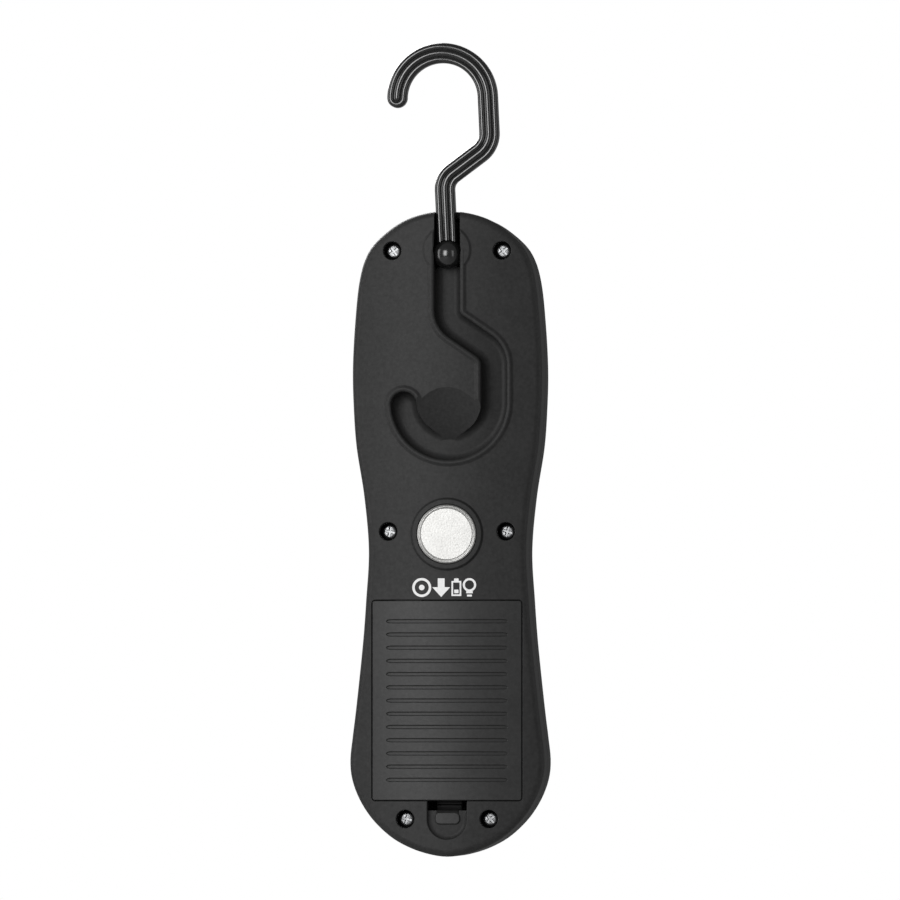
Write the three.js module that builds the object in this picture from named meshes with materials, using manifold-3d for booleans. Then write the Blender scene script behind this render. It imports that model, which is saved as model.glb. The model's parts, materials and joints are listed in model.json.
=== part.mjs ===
// Hand-held battery work light: a two-part moulded body with 24 LEDs behind a clear window in
// front, a magnet, a fold-away swivel hook and a battery door for three AA cells at the back.
// Millimetres. X is to the right and Z up as the back is seen, and +Y runs from the back of the
// light to its window. The origin is the centre of the magnet's outer face.
import * as THREE from "three";
import { mergeVertices } from "three/addons/utils/BufferGeometryUtils.js";
import Module from "manifold-3d";

const wasm = await Module();
wasm.setup();

// Driving dimensions.
const GAP = 0.3;
const MAGNET_FACE = 0;
const MAGNET_BOSS_FACE = 0.3;
const BACK = 1.5;
const PARTING = 16;
const FRONT = 30;
const WALL = 2;
const EDGE_ROUND = 2.2;
const BODY_STATIONS = [
  // height, half width
  [98.6, 0],
  [97.6, 8.1],
  [94.9, 14.8],
  [88.5, 22.5],
  [84, 25.15],
  [77.5, 26.9],
  [65, 28.25],
  [50, 29],
  [38, 28.7],
  [27, 27.9],
  [11.6, 25.5],
  [-5, 24.1],
  [-20, 24.9],
  [-32.3, 25.8],
  [-54.3, 28.1],
  [-62, 29.05],
  [-68.9, 29.75],
  [-74, 29.35],
  [-79.9, 27.4],
  [-86, 23.75],
  [-90.9, 19.1],
  [-94, 14.8],
  [-97, 7.9],
  [-98.4, 0],
];

const HOOK_PIVOT = new THREE.Vector3(0, 4.8, 86.75);
const HOOK_TILT = 1.3; // degrees: the side pins slope by this, so the raised hook leans twice as far
const HOOK_BALL_RADIUS = 4.6;
const HOOK_BALL_DROP = 1.25; // the ball's centre is this far below the pins
const HOOK_HALF_WIDTH = 3.05;
const HOOK_HALF_DEPTH = 2.6;
const HOOK_STEM = 18.4;
const HOOK_OFFSET = 14.4;
const HOOK_LEAN = THREE.MathUtils.degToRad(34.2);
const HOOK_FIRST_BEND = 6;
const HOOK_SECOND_BEND = 7.5;
const HOOK_CROWN_CENTRE = new THREE.Vector2(0.55, 46.35);
const HOOK_CROWN_RADIUS = 13.85;
const HOOK_CROWN_END = THREE.MathUtils.degToRad(176.5);
const HOOK_PEG_RADIUS = 1.5;
const TRUNNION_RADIUS = 1.5;
const TRUNNION_REACH = 6.2;

const CHANNEL_HALF_WIDTH = 3.95;
const CHANNEL_FLOOR = 8.4;
const RIM_WIDTH = 1.8;
const RIM_FACE = 0.8;
const EAR_RADIUS = 7.3;
const EAR_FACE = 0.9;
const SCOOP_TOP = 44.9;
const SCOOP_END = 29;
const SCOOP_RADIUS = 22.6;
const SCOOP_REACH = 14.5; // the scoop stays this near to the crown's centre
const SCOOP_BOWL_RADIUS = 10.5;
const BALL_POCKET_RADIUS = 3.8;
const BALL_POCKET_REACH = 4.95;
const BALL_TROUGH_RADIUS = 6.1;

const MAGNET_RADIUS = 9;
const MAGNET_THICKNESS = 3.2;
const MAGNET_BOSS_RADIUS = 10.85;

const DOOR_HALF_WIDTH = 22.85;
const DOOR_TOP = -20.3;
const DOOR_BOTTOM = -81.2;
const DOOR_SEAM = 0.4;
const DOOR_THICKNESS = 2;
const DOOR_GROOVES = 13;
const GROOVE_PITCH = 4.03;
const FIRST_GROOVE = -26.6;
const GROOVE_HALF_LENGTH = 18.6;
const TAB_X = 12;
const TAB_HALF_WIDTH = 4;

const CELL_RADIUS = 7.25;
const CELL_LENGTH = 50.5;
const CELL_PITCH = 14.8;
const CELL_Y = BACK + DOOR_THICKNESS + GAP + CELL_RADIUS;
const BAY_HALF_WIDTH = 22.6;
const BAY_TOP = -22;
const BAY_BOTTOM = -77.9;
const BAY_FLOOR = CELL_Y + CELL_RADIUS + GAP;
const BAY_WALL = 1.5;
const PLATE_THICKNESS = 0.4;
const WIRE_RADIUS = 0.7;

const LATCH_HALF_WIDTH = 3.8;
const LATCH_THICKNESS = 1;
const LATCH_HINGE = new THREE.Vector2(11.4, -82.6); // Y, Z of the U bend's lowest point
const LATCH_BEND_RADIUS = 2.2;
const LATCH_SCOOP_RADIUS = 6.05;
const LATCH_SCOOP_CENTRE = -87.05;
const LATCH_SCOOP_FLOOR = 3.4;
const PAD_TOP = -84.9;
const PAD_BOTTOM = -88.5;

const SCREW_PLACES = [
  // distance from the middle, height
  [16.8, 86.5],
  [18, 0.8],
  [12.8, -86.9],
];
const WELL_RADIUS = 2.8;
const WELL_FLOOR = 8.4;
const SCREW_HEAD_RADIUS = 2.4;
const SCREW_HEAD_HEIGHT = 1.7;
const SCREW_SHANK_RADIUS = 1.25;
const SCREW_HOLE_RADIUS = 1.6;
const SCREW_BOSS_END = 12.9;
const POST_RADIUS = 3.2;

const BOARD_BACK = 16.4;
const BOARD_FRONT = 18;
const BOARD_INSET = 3.7;
const BOARD_BOTTOM = -16.5;
const BOARD_SCREW_X = 22.6;
const BOARD_SCREW_Z = [70, 30];
const LED_COLUMNS = 3;
const LED_ROWS = 8;
const LED_COLUMN_PITCH = 11.4;
const LED_ROW_PITCH = 8;
const LED_LOWEST = 22;
const LED_RADIUS = 2.5;
const LED_TIP = 26.4;
const WINDOW_HALF_WIDTH = 19.5;
const WINDOW_TOP_CENTRE = 68.5;
const WINDOW_BOTTOM = 14;
const WINDOW_CORNER = 12;
const REFLECTOR_BACK = 22.4;
const REFLECTOR_FRONT = 26;
const LENS_FLANGE = 1.2;

const BUTTON_HEIGHT = -3;
const BUTTON_RADIUS = 6.5;
const BUTTON_TRAVEL = 1.5;
const BUTTON_PROUD = 1;

// --- Turning three.js geometry into solids and back -------------------------------------------

function solid(geometry) {
  geometry.deleteAttribute("normal");
  geometry.deleteAttribute("uv");
  const merged = mergeVertices(geometry, 1e-4);
  return new wasm.Manifold(
    new wasm.Mesh({
      numProp: 3,
      vertProperties: new Float32Array(merged.attributes.position.array),
      triVerts: new Uint32Array(merged.index.array),
    }),
  );
}

function geometryOf(body) {
  const mesh = body.getMesh();
  const geometry = new THREE.BufferGeometry();
  geometry.setAttribute("position", new THREE.BufferAttribute(mesh.vertProperties, 3));
  geometry.setIndex(new THREE.BufferAttribute(mesh.triVerts, 1));
  geometry.computeVertexNormals();
  return geometry;
}

// A plate whose outline lies across the light, in X and Z, with its thickness along Y.
function slab(shape, back, front, round = 0, steps = 1) {
  const geometry = new THREE.ExtrudeGeometry(shape, {
    depth: front - back - 2 * round,
    curveSegments: 8,
    bevelEnabled: round > 0,
    bevelThickness: round,
    bevelSize: round,
    bevelOffset: -round,
    bevelSegments: steps,
  });
  geometry.rotateX(Math.PI / 2);
  geometry.translate(0, front - round, 0);
  return solid(geometry);
}

// A strip whose outline lies in Y and Z, with its width along X.
function strip(shape, left, right) {
  const geometry = new THREE.ExtrudeGeometry(shape, {
    depth: right - left,
    curveSegments: 6,
    bevelEnabled: false,
  });
  geometry.rotateX(Math.PI / 2);
  geometry.rotateZ(Math.PI / 2);
  geometry.translate(left, 0, 0);
  return solid(geometry);
}

function block(left, right, back, front, low, high) {
  const geometry = new THREE.BoxGeometry(right - left, front - back, high - low);
  geometry.translate((left + right) / 2, (back + front) / 2, (low + high) / 2);
  return solid(geometry);
}

// A round solid about an axis along Y, from a profile of [radius, y] pairs.
function turned(profile, x = 0, z = 0, sides = 20) {
  const points = profile.map(([radius, y]) => new THREE.Vector2(radius, y));
  const geometry = new THREE.LatheGeometry(points, sides);
  geometry.translate(x, 0, z);
  return solid(geometry);
}

function peg(radius, back, front, x = 0, z = 0, sides = 16) {
  const geometry = new THREE.CylinderGeometry(radius, radius, front - back, sides);
  geometry.translate(x, (back + front) / 2, z);
  return solid(geometry);
}

// A round pin along Z, from one height to another.
function upright(radius, low, high, x, y, sides = 12) {
  const geometry = new THREE.CylinderGeometry(radius, radius, high - low, sides);
  geometry.rotateX(Math.PI / 2);
  geometry.translate(x, y, (low + high) / 2);
  return solid(geometry);
}

function ball(radius, x, y, z, sides = 16) {
  const geometry = new THREE.SphereGeometry(radius, sides, sides / 2);
  geometry.rotateX(Math.PI / 2);
  geometry.translate(x, y, z);
  return solid(geometry);
}

// A wire of round section along a smooth route through the given points.
function wire(points, radius, sides, steps) {
  const section = new THREE.Shape();
  for (let i = 0; i < sides; i++) {
    const angle = (2 * Math.PI * i) / sides;
    const corner = [radius * Math.cos(angle), radius * Math.sin(angle)];
    if (i === 0) section.moveTo(...corner);
    else section.lineTo(...corner);
  }
  section.closePath();
  const route = new THREE.CatmullRomCurve3(points.map((p) => new THREE.Vector3(...p)));
  return solid(new THREE.ExtrudeGeometry(section, { steps, extrudePath: route }));
}

const group = new THREE.Group();

function place(name, body, material) {
  const mesh = new THREE.Mesh(geometryOf(body), material);
  mesh.name = name;
  group.add(mesh);
}

function finish(color, roughness, metalness = 0) {
  return new THREE.MeshStandardMaterial({ color, roughness, metalness });
}

const MATT_BLACK = finish(0x1c1c1d, 0.62);
const GLOSS_BLACK = finish(0x0b0b0c, 0.15);
const NICKEL = finish(0xd9d9d6, 0.25, 1);
const ZINC = finish(0xb9bbbd, 0.3, 1);
const SPRING_STEEL = finish(0xc4c2bc, 0.35, 1);
const CLEAR = finish(0xeef2f4, 0.05);
const MIRROR = finish(0xe2e4e6, 0.12, 1);
const BOARD_GREEN = finish(0x1f5a34, 0.45);
const SOFT_BLACK = finish(0x151516, 0.8);
const SWITCH_GREY = finish(0x3a3c3e, 0.4);
const CELL_SLEEVE = finish(0x2c4a66, 0.35);
const RED_WIRE = finish(0xa81c18, 0.5);
const BLACK_WIRE = finish(0x141414, 0.5);

// --- Outlines ----------------------------------------------------------------------------------

// The body's waisted outline, moved inwards by a distance.
function bodyOutline(inset = 0, count = 56) {
  const right = BODY_STATIONS.map(([height, half]) => new THREE.Vector3(half, height, 0));
  const left = BODY_STATIONS.slice(1, -1).map(([height, half]) => new THREE.Vector3(-half, height, 0));
  const curve = new THREE.CatmullRomCurve3([...right, ...left.reverse()], true);
  const points = [];
  for (let i = 0; i < count; i++) {
    const point = curve.getPointAt(i / count);
    const along = curve.getTangentAt(i / count);
    points.push(new THREE.Vector2(point.x + along.y * inset, point.y - along.x * inset));
  }
  return new THREE.Shape(points);
}

function circleOutline(x, z, radius) {
  const shape = new THREE.Shape();
  shape.absarc(x, z, radius, 0, 2 * Math.PI);
  return shape;
}

// A rectangle from corner to corner with rounded corners.
function plateOutline(left, right, low, high, radius) {
  const shape = new THREE.Shape();
  shape.moveTo(left + radius, low);
  shape.absarc(right - radius, low + radius, radius, -Math.PI / 2, 0);
  shape.absarc(right - radius, high - radius, radius, 0, Math.PI / 2);
  shape.absarc(left + radius, high - radius, radius, Math.PI / 2, Math.PI);
  shape.absarc(left + radius, low + radius, radius, Math.PI, 1.5 * Math.PI);
  return shape;
}

// The LED window: a half circle at the top, straight sides and rounded lower corners.
function windowOutline(grow = 0) {
  const half = WINDOW_HALF_WIDTH + grow;
  const corner = WINDOW_CORNER + grow;
  const low = WINDOW_BOTTOM + WINDOW_CORNER;
  const shape = new THREE.Shape();
  shape.absarc(0, WINDOW_TOP_CENTRE, half, 0, Math.PI);
  shape.absarc(-half + corner, low, corner, Math.PI, 1.5 * Math.PI);
  shape.absarc(half - corner, low, corner, 1.5 * Math.PI, 2 * Math.PI);
  return shape;
}

// The hook's centreline: the distance to the side and the distance from the pivot. It runs up
// the stem, leans out to one side, turns upright and goes over the crown to the tip.
function hookCentreline(start) {
  const turn = Math.PI / 2 - HOOK_LEAN;
  const bends = HOOK_FIRST_BEND + HOOK_SECOND_BEND;
  const slant = (HOOK_OFFSET - bends * (1 - Math.cos(turn))) / Math.cos(HOOK_LEAN);
  const shoulder = HOOK_STEM + bends * Math.sin(turn) + slant * Math.sin(HOOK_LEAN);
  const path = new THREE.Path();
  path.moveTo(0, start);
  path.lineTo(0, HOOK_STEM);
  path.absarc(HOOK_FIRST_BEND, HOOK_STEM, HOOK_FIRST_BEND, Math.PI, Math.PI - turn, true);
  path.absarc(HOOK_OFFSET - HOOK_SECOND_BEND, shoulder, HOOK_SECOND_BEND, -turn, 0);
  path.absarc(HOOK_CROWN_CENTRE.x, HOOK_CROWN_CENTRE.y, HOOK_CROWN_RADIUS, 0, HOOK_CROWN_END);
  return path;
}

// The outline of a slot that follows the folded hook down from above the pivot and ends in a
// half circle round its tip.
function foldedSlotOutline(start, halfWidth, steps = 32) {
  const path = hookCentreline(start);
  const near = [];
  const far = [];
  for (let i = 0; i <= steps; i++) {
    const point = path.getPointAt(i / steps);
    const along = path.getTangentAt(i / steps);
    const side = new THREE.Vector2(-along.y, along.x).multiplyScalar(halfWidth);
    near.push(point.clone().add(side));
    far.unshift(point.clone().sub(side));
  }
  const tip = path.getPointAt(1);
  const cap = [];
  for (let i = 1; i < 6; i++) {
    const angle = (-Math.PI * i) / 6;
    cap.push(new THREE.Vector2(halfWidth * Math.cos(angle), halfWidth * Math.sin(angle)).add(tip));
  }
  const outline = [...near, ...cap, ...far];
  return new THREE.Shape(outline.map((p) => new THREE.Vector2(p.x, HOOK_PIVOT.z - p.y)));
}

// --- Rear housing --------------------------------------------------------------------------------

// Every screw's place, left and right at three heights.
const screwPlaces = SCREW_PLACES.flatMap(([x, z]) => [
  [-x, z],
  [x, z],
]);

// One half of the body shell: the wall, hollow inside and open at the parting line.
function shell(outside, inside, opening) {
  return slab(bodyOutline(), ...outside, EDGE_ROUND, 2)
    .subtract(slab(bodyOutline(WALL), ...inside, 1, 1))
    .subtract(block(-40, 40, ...opening, -110, 110));
}

// The ring inside the rear shell's edge that centres the front shell.
function shellLip() {
  const base = PARTING - GAP / 2;
  return slab(bodyOutline(WALL - 0.2), 12, base - 0.2)
    .add(slab(bodyOutline(WALL + GAP), 12, PARTING + 1.6))
    .subtract(slab(bodyOutline(WALL + 1.3), 11, PARTING + 2));
}

// The walls round the three cells, open towards the door.
function batteryBay() {
  return block(
    -BAY_HALF_WIDTH - BAY_WALL,
    BAY_HALF_WIDTH + BAY_WALL,
    BACK + 1,
    BAY_FLOOR + BAY_WALL,
    BAY_BOTTOM - BAY_WALL,
    BAY_TOP + BAY_WALL,
  ).intersect(slab(bodyOutline(WALL + GAP), BACK + 1, BAY_FLOOR + BAY_WALL));
}

// What the bay's walls leave open: the cells' space, the door's place, the door tabs' notches
// and the holes for the two wires.
function batteryBayCuts() {
  let cuts = block(-BAY_HALF_WIDTH, BAY_HALF_WIDTH, BACK - 1, BAY_FLOOR, BAY_BOTTOM, BAY_TOP);
  const seam = plateOutline(
    -DOOR_HALF_WIDTH - DOOR_SEAM,
    DOOR_HALF_WIDTH + DOOR_SEAM,
    DOOR_BOTTOM - DOOR_SEAM,
    DOOR_TOP + DOOR_SEAM,
    1.2,
  );
  cuts = cuts.add(slab(seam, BACK - 1, BACK + DOOR_THICKNESS + GAP));
  for (const x of [-TAB_X, TAB_X]) {
    const half = TAB_HALF_WIDTH + 0.6;
    cuts = cuts.add(block(x - half, x + half, BACK + DOOR_THICKNESS, 6, BAY_TOP - 1, DOOR_TOP + 2.4));
  }
  cuts = cuts.add(upright(1.2, BAY_TOP - 1, BAY_TOP + 3, -CELL_PITCH, 14.6));
  return cuts.add(upright(1.2, BAY_BOTTOM - 3, BAY_BOTTOM + 1, CELL_PITCH, 14.6));
}

// The finger scoop below the door, with the slot that the door's latch drops into.
function latchScoopOutline(grow) {
  const shape = new THREE.Shape();
  const radius = LATCH_SCOOP_RADIUS + grow;
  shape.moveTo(radius, DOOR_BOTTOM);
  shape.lineTo(-radius, DOOR_BOTTOM);
  shape.absarc(0, LATCH_SCOOP_CENTRE, radius, Math.PI, 2 * Math.PI);
  return shape;
}

function latchCuts() {
  const slot = LATCH_HALF_WIDTH + 0.6;
  return slab(latchScoopOutline(0), BACK - 1, LATCH_SCOOP_FLOOR)
    .add(block(-LATCH_SCOOP_RADIUS, LATCH_SCOOP_RADIUS, BACK - 1, 6.2, -84.3, DOOR_BOTTOM + 0.5))
    .add(block(-slot, slot, BACK - 1, 6.2, PAD_BOTTOM - 0.5, DOOR_BOTTOM + 0.5));
}

function rearHousing() {
  let body = shell([BACK, 24], [BACK + WALL, 26], [PARTING - GAP / 2, 30]).add(shellLip());

  // Everything that stands on the back or behind its wall.
  const rims = foldedSlotOutline(0, CHANNEL_HALF_WIDTH + RIM_WIDTH);
  const trough = foldedSlotOutline(-9, CHANNEL_HALF_WIDTH + 1.5);
  body = body
    .add(slab(rims, RIM_FACE, BACK + 1, 0.5))
    .add(slab(trough, BACK + 1, CHANNEL_FLOOR + 1.6))
    .add(peg(SCOOP_BOWL_RADIUS, BACK + 1, CHANNEL_FLOOR + 1.6, 0, (SCOOP_TOP + SCOOP_END) / 2, 20))
    .add(slab(circleOutline(0, HOOK_PIVOT.z, EAR_RADIUS), EAR_FACE, BACK + 1, 0.4))
    .add(block(-9.2, 9.2, BACK + 1, 12.4, HOOK_PIVOT.z - 7.6, HOOK_PIVOT.z + 7.6))
    .add(peg(MAGNET_BOSS_RADIUS, MAGNET_BOSS_FACE, BACK + 1, 0, 0, 32))
    .add(peg(MAGNET_RADIUS + 3.4, BACK + 1, 6.4, 0, 0, 20))
    .add(slab(latchScoopOutline(1.5), BACK + 1, LATCH_SCOOP_FLOOR + 1.8))
    .add(batteryBay());
  for (const [x, z] of screwPlaces) body = body.add(peg(WELL_RADIUS + 1.4, BACK + 1, SCREW_BOSS_END, x, z, 12));

  // The hook's channel, its ball socket and the fingertip scoop.
  body = body
    .subtract(slab(foldedSlotOutline(-16, CHANNEL_HALF_WIDTH), -2, CHANNEL_FLOOR))
    .subtract(crossPin(BALL_POCKET_RADIUS, BALL_POCKET_REACH, 20))
    .subtract(crossPin(BALL_TROUGH_RADIUS, CHANNEL_HALF_WIDTH, 24))
    .subtract(trunnions(TRUNNION_RADIUS + GAP, TRUNNION_REACH + GAP))
    .subtract(fingertipScoop())
    .subtract(peg(MAGNET_RADIUS + GAP, -1, BACK + WALL, 0, 0, 28))
    .subtract(peg(MAGNET_RADIUS + 2, BACK + WALL, 8, 0, 0, 20))
    .subtract(batteryBayCuts())
    .subtract(latchCuts());
  for (const [x, z] of screwPlaces) {
    body = body
      .subtract(peg(WELL_RADIUS, 0, WELL_FLOOR, x, z, 12))
      .subtract(peg(SCREW_HOLE_RADIUS, 0, 14, x, z, 8))
      .subtract(peg(POST_RADIUS + 2 * GAP, SCREW_BOSS_END, PARTING + 3, x, z, 10));
  }
  return body;
}

// The fingertip scoop: a round groove that slopes from the back face to the channel's floor.
function fingertipScoop() {
  const slope = new THREE.Vector3(0, CHANNEL_FLOOR - BACK, SCOOP_END - SCOOP_TOP).normalize();
  const out = new THREE.Vector3(0, slope.z, -slope.y);
  const middle = new THREE.Vector3(0, BACK, SCOOP_TOP).addScaledVector(out, SCOOP_RADIUS).addScaledVector(slope, 2.5);
  const geometry = new THREE.CylinderGeometry(SCOOP_RADIUS, SCOOP_RADIUS, 40, 64);
  geometry.applyQuaternion(new THREE.Quaternion().setFromUnitVectors(new THREE.Vector3(0, 1, 0), slope));
  geometry.translate(...middle.toArray());
  const { x, y } = HOOK_CROWN_CENTRE;
  return solid(geometry).intersect(peg(SCOOP_REACH, -2, CHANNEL_FLOOR, x, HOOK_PIVOT.z - y, 32));
}

// --- Hook and its ball joint -------------------------------------------------------------------

// A round bar along X through the pivot.
function crossPin(radius, reach, sides = 12) {
  const geometry = new THREE.CylinderGeometry(radius, radius, 2 * reach, sides);
  geometry.rotateZ(Math.PI / 2);
  geometry.translate(...HOOK_PIVOT.toArray());
  return solid(geometry);
}

// Turns a solid about the pivot, towards the side that the raised hook leans to.
function leaned(body, degrees) {
  const pivot = HOOK_PIVOT.toArray();
  const back = HOOK_PIVOT.clone().negate().toArray();
  return body.translate(back).rotate([0, -degrees, 0]).translate(pivot);
}

// The ball's two side pins, which the hook folds about.
function trunnions(radius, reach) {
  return leaned(crossPin(radius, reach), HOOK_TILT);
}

const { x: PIVOT_X, y: PIVOT_Y, z: PIVOT_Z } = HOOK_PIVOT;

const BALL_Z = PIVOT_Z - HOOK_BALL_DROP;

function hookBall() {
  const bore = upright(HOOK_PEG_RADIUS + GAP, BALL_Z - 3.2, BALL_Z + 6, PIVOT_X, PIVOT_Y);
  const collar = upright(HOOK_PEG_RADIUS + 0.9, BALL_Z - 2.6, BALL_Z - 0.6, PIVOT_X, PIVOT_Y);
  const hollow = leaned(bore.add(collar), 2 * HOOK_TILT);
  return leaned(ball(HOOK_BALL_RADIUS, PIVOT_X, PIVOT_Y, BALL_Z), 2 * HOOK_TILT)
    .add(trunnions(TRUNNION_RADIUS, TRUNNION_REACH))
    .subtract(hollow);
}

class HookCurve extends THREE.Curve {
  constructor(start) {
    super();
    this.path = hookCentreline(start);
  }
  getPoint(t, target = new THREE.Vector3()) {
    const point = this.path.getPointAt(t);
    return target.set(point.x, PIVOT_Y, PIVOT_Z + point.y);
  }
}

// The rod's section: a rounded rectangle, depth by width, with a shallow hollow on both faces.
function hookSection() {
  const corners = [];
  const sides = 12;
  for (let i = 0; i < sides; i++) {
    const angle = (2 * Math.PI * (i + 0.5)) / sides;
    const depth = HOOK_HALF_DEPTH * Math.sign(Math.cos(angle)) * Math.abs(Math.cos(angle)) ** 0.7;
    const width = HOOK_HALF_WIDTH * Math.sign(Math.sin(angle)) * Math.abs(Math.sin(angle)) ** 0.7;
    corners.push(new THREE.Vector2(depth, width));
  }
  return new THREE.Shape(corners);
}

function hookRod() {
  const rod = solid(new THREE.ExtrudeGeometry(hookSection(), { steps: 40, extrudePath: new HookCurve(2) }));
  const end = hookCentreline(2).getPointAt(1);
  const tip = ball(1, 0, 0, 0, 12).scale([HOOK_HALF_WIDTH * 0.97, HOOK_HALF_DEPTH * 0.97, HOOK_HALF_WIDTH]);
  const hook = rod
    .add(tip.translate([end.x, PIVOT_Y, PIVOT_Z + end.y]))
    .subtract(ball(HOOK_BALL_RADIUS + GAP, PIVOT_X, PIVOT_Y, BALL_Z))
    .add(upright(HOOK_PEG_RADIUS, BALL_Z - 2.9, BALL_Z + 6, PIVOT_X, PIVOT_Y))
    .add(upright(HOOK_PEG_RADIUS + 0.4, BALL_Z - 2.3, BALL_Z - 0.9, PIVOT_X, PIVOT_Y));
  return leaned(hook, 2 * HOOK_TILT);
}

// --- Magnet -------------------------------------------------------------------------------------

function magnet() {
  const edge = MAGNET_RADIUS - 0.6;
  const back = MAGNET_FACE + MAGNET_THICKNESS;
  const profile = [
    [0, MAGNET_FACE],
    [edge, MAGNET_FACE],
    [MAGNET_RADIUS, MAGNET_FACE + 0.6],
    [MAGNET_RADIUS, back],
    [0, back],
  ];
  return turned(profile, 0, 0, 28);
}

function magnetRetainer() {
  return peg(MAGNET_RADIUS + 2 - 2 * GAP, BACK + WALL + GAP, 5.4, 0, 0, 20);
}

// --- Battery door and latch ----------------------------------------------------------------------

// One finger-grip groove across the door: a shallow trough that runs out at both ends.
function doorGroove(height) {
  const end = GROOVE_HALF_LENGTH;
  const outline = [
    [-end, height],
    [-end + 0.75, height - 0.75],
    [end - 0.75, height - 0.75],
    [end, height],
    [end - 0.75, height + 0.75],
    [-end + 0.75, height + 0.75],
  ].map((corner) => new THREE.Vector2(...corner));
  return slab(new THREE.Shape(outline), BACK - 0.5, BACK + 0.5);
}

function batteryDoor() {
  const outline = plateOutline(-DOOR_HALF_WIDTH, DOOR_HALF_WIDTH, DOOR_BOTTOM, DOOR_TOP, 0.8);
  let door = slab(outline, BACK, BACK + DOOR_THICKNESS);
  for (let i = 0; i < DOOR_GROOVES; i++) door = door.subtract(doorGroove(FIRST_GROOVE - i * GROOVE_PITCH));
  for (const x of [-TAB_X, TAB_X]) {
    const left = x - TAB_HALF_WIDTH;
    const right = x + TAB_HALF_WIDTH;
    door = door.add(block(left, right, BACK + 1, 5, DOOR_TOP - 0.9, DOOR_TOP - 0.1));
    door = door.add(block(left, right, BACK + DOOR_THICKNESS + GAP, 5, DOOR_TOP - 0.9, DOOR_TOP + 1.5));
  }
  return door;
}

// The door side of the U-shaped spring tongue: one leg and half of the bend.
function latchSpring() {
  const { x: low, y: middle } = LATCH_HINGE;
  const half = LATCH_THICKNESS / 2;
  const bendY = low - LATCH_BEND_RADIUS;
  const shape = new THREE.Shape();
  shape.moveTo(BACK + DOOR_THICKNESS + GAP, middle + LATCH_BEND_RADIUS + half);
  shape.lineTo(bendY, middle + LATCH_BEND_RADIUS + half);
  shape.absarc(bendY, middle, LATCH_BEND_RADIUS + half, Math.PI / 2, 0.07, true);
  shape.absarc(bendY, middle, LATCH_BEND_RADIUS - half, 0.07, Math.PI / 2);
  shape.lineTo(BACK + DOOR_THICKNESS + GAP, middle + LATCH_BEND_RADIUS - half);
  shape.closePath();
  return strip(shape, -LATCH_HALF_WIDTH, LATCH_HALF_WIDTH);
}

// The moving side of the tongue: the other leg, the finger pad and the catch under it.
function latchTongue() {
  const { x: low, y: middle } = LATCH_HINGE;
  const half = LATCH_THICKNESS / 2;
  const bendY = low - LATCH_BEND_RADIUS;
  const legTop = middle - LATCH_BEND_RADIUS + half;
  const shape = new THREE.Shape();
  shape.absarc(bendY, middle, LATCH_BEND_RADIUS + half, -0.07, -Math.PI / 2, true);
  shape.lineTo(6.9, legTop - LATCH_THICKNESS);
  shape.lineTo(5.9, PAD_BOTTOM + 0.1);
  shape.lineTo(3.9, PAD_BOTTOM + 0.1);
  shape.lineTo(3.5, PAD_BOTTOM);
  shape.lineTo(2.6, PAD_BOTTOM);
  shape.lineTo(2.6, PAD_TOP);
  shape.lineTo(3.4, legTop);
  shape.lineTo(bendY, legTop);
  shape.absarc(bendY, middle, LATCH_BEND_RADIUS - half, -Math.PI / 2, -0.07);
  shape.closePath();
  return strip(shape, -LATCH_HALF_WIDTH, LATCH_HALF_WIDTH);
}

// --- Cells and contacts ----------------------------------------------------------------------------

// Cell 1 and 3 stand with the positive end up, cell 2 with it down.
const CELLS = [-1, 0, 1].map((place, index) => ({ x: place * CELL_PITCH, up: index !== 1 }));
const CELL_CLEARANCE = PLATE_THICKNESS + 2 * GAP;

function cell({ x, up }) {
  const profile = [
    [0, 0],
    [6.4, 0],
    [CELL_RADIUS, 0.5],
    [CELL_RADIUS, 48.4],
    [6.6, 49.1],
    [2.75, 49.2],
    [2.75, CELL_LENGTH],
    [0, CELL_LENGTH],
  ];
  const geometry = new THREE.LatheGeometry(
    profile.map(([radius, along]) => new THREE.Vector2(radius, along)),
    20,
  );
  geometry.rotateX(up ? Math.PI / 2 : -Math.PI / 2);
  const base = up ? BAY_TOP - CELL_CLEARANCE - CELL_LENGTH : BAY_BOTTOM + CELL_CLEARANCE + CELL_LENGTH;
  geometry.translate(x, CELL_Y, base);
  return solid(geometry);
}

// The conical spring that presses on a cell's flat end.
function contactSpring({ x, up }) {
  const turns = 2.25;
  const steps = 22;
  const wireRadius = 0.4;
  const length = BAY_TOP - BAY_BOTTOM - CELL_LENGTH - 2 * CELL_CLEARANCE - 2 * wireRadius - GAP;
  const points = [];
  for (let i = 0; i <= steps; i++) {
    const along = i / steps;
    const angle = 2 * Math.PI * turns * along;
    const radius = 4.6 - 1.6 * along;
    const rise = wireRadius + length * along;
    const z = up ? BAY_BOTTOM + CELL_CLEARANCE + rise : BAY_TOP - CELL_CLEARANCE - rise;
    points.push([x + radius * Math.cos(angle), CELL_Y + radius * Math.sin(angle), z]);
  }
  return wire(points, wireRadius, 5, steps);
}

// A nickel-plated contact plate at the top or bottom of the bay, from one cell to another.
function contactPlate(first, last, atTop) {
  const height = atTop ? BAY_TOP - GAP - PLATE_THICKNESS : BAY_BOTTOM + GAP;
  return block(first - 5, last + 5, 6.4, 16.4, height, height + PLATE_THICKNESS);
}

// --- Front housing -----------------------------------------------------------------------------------

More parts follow.
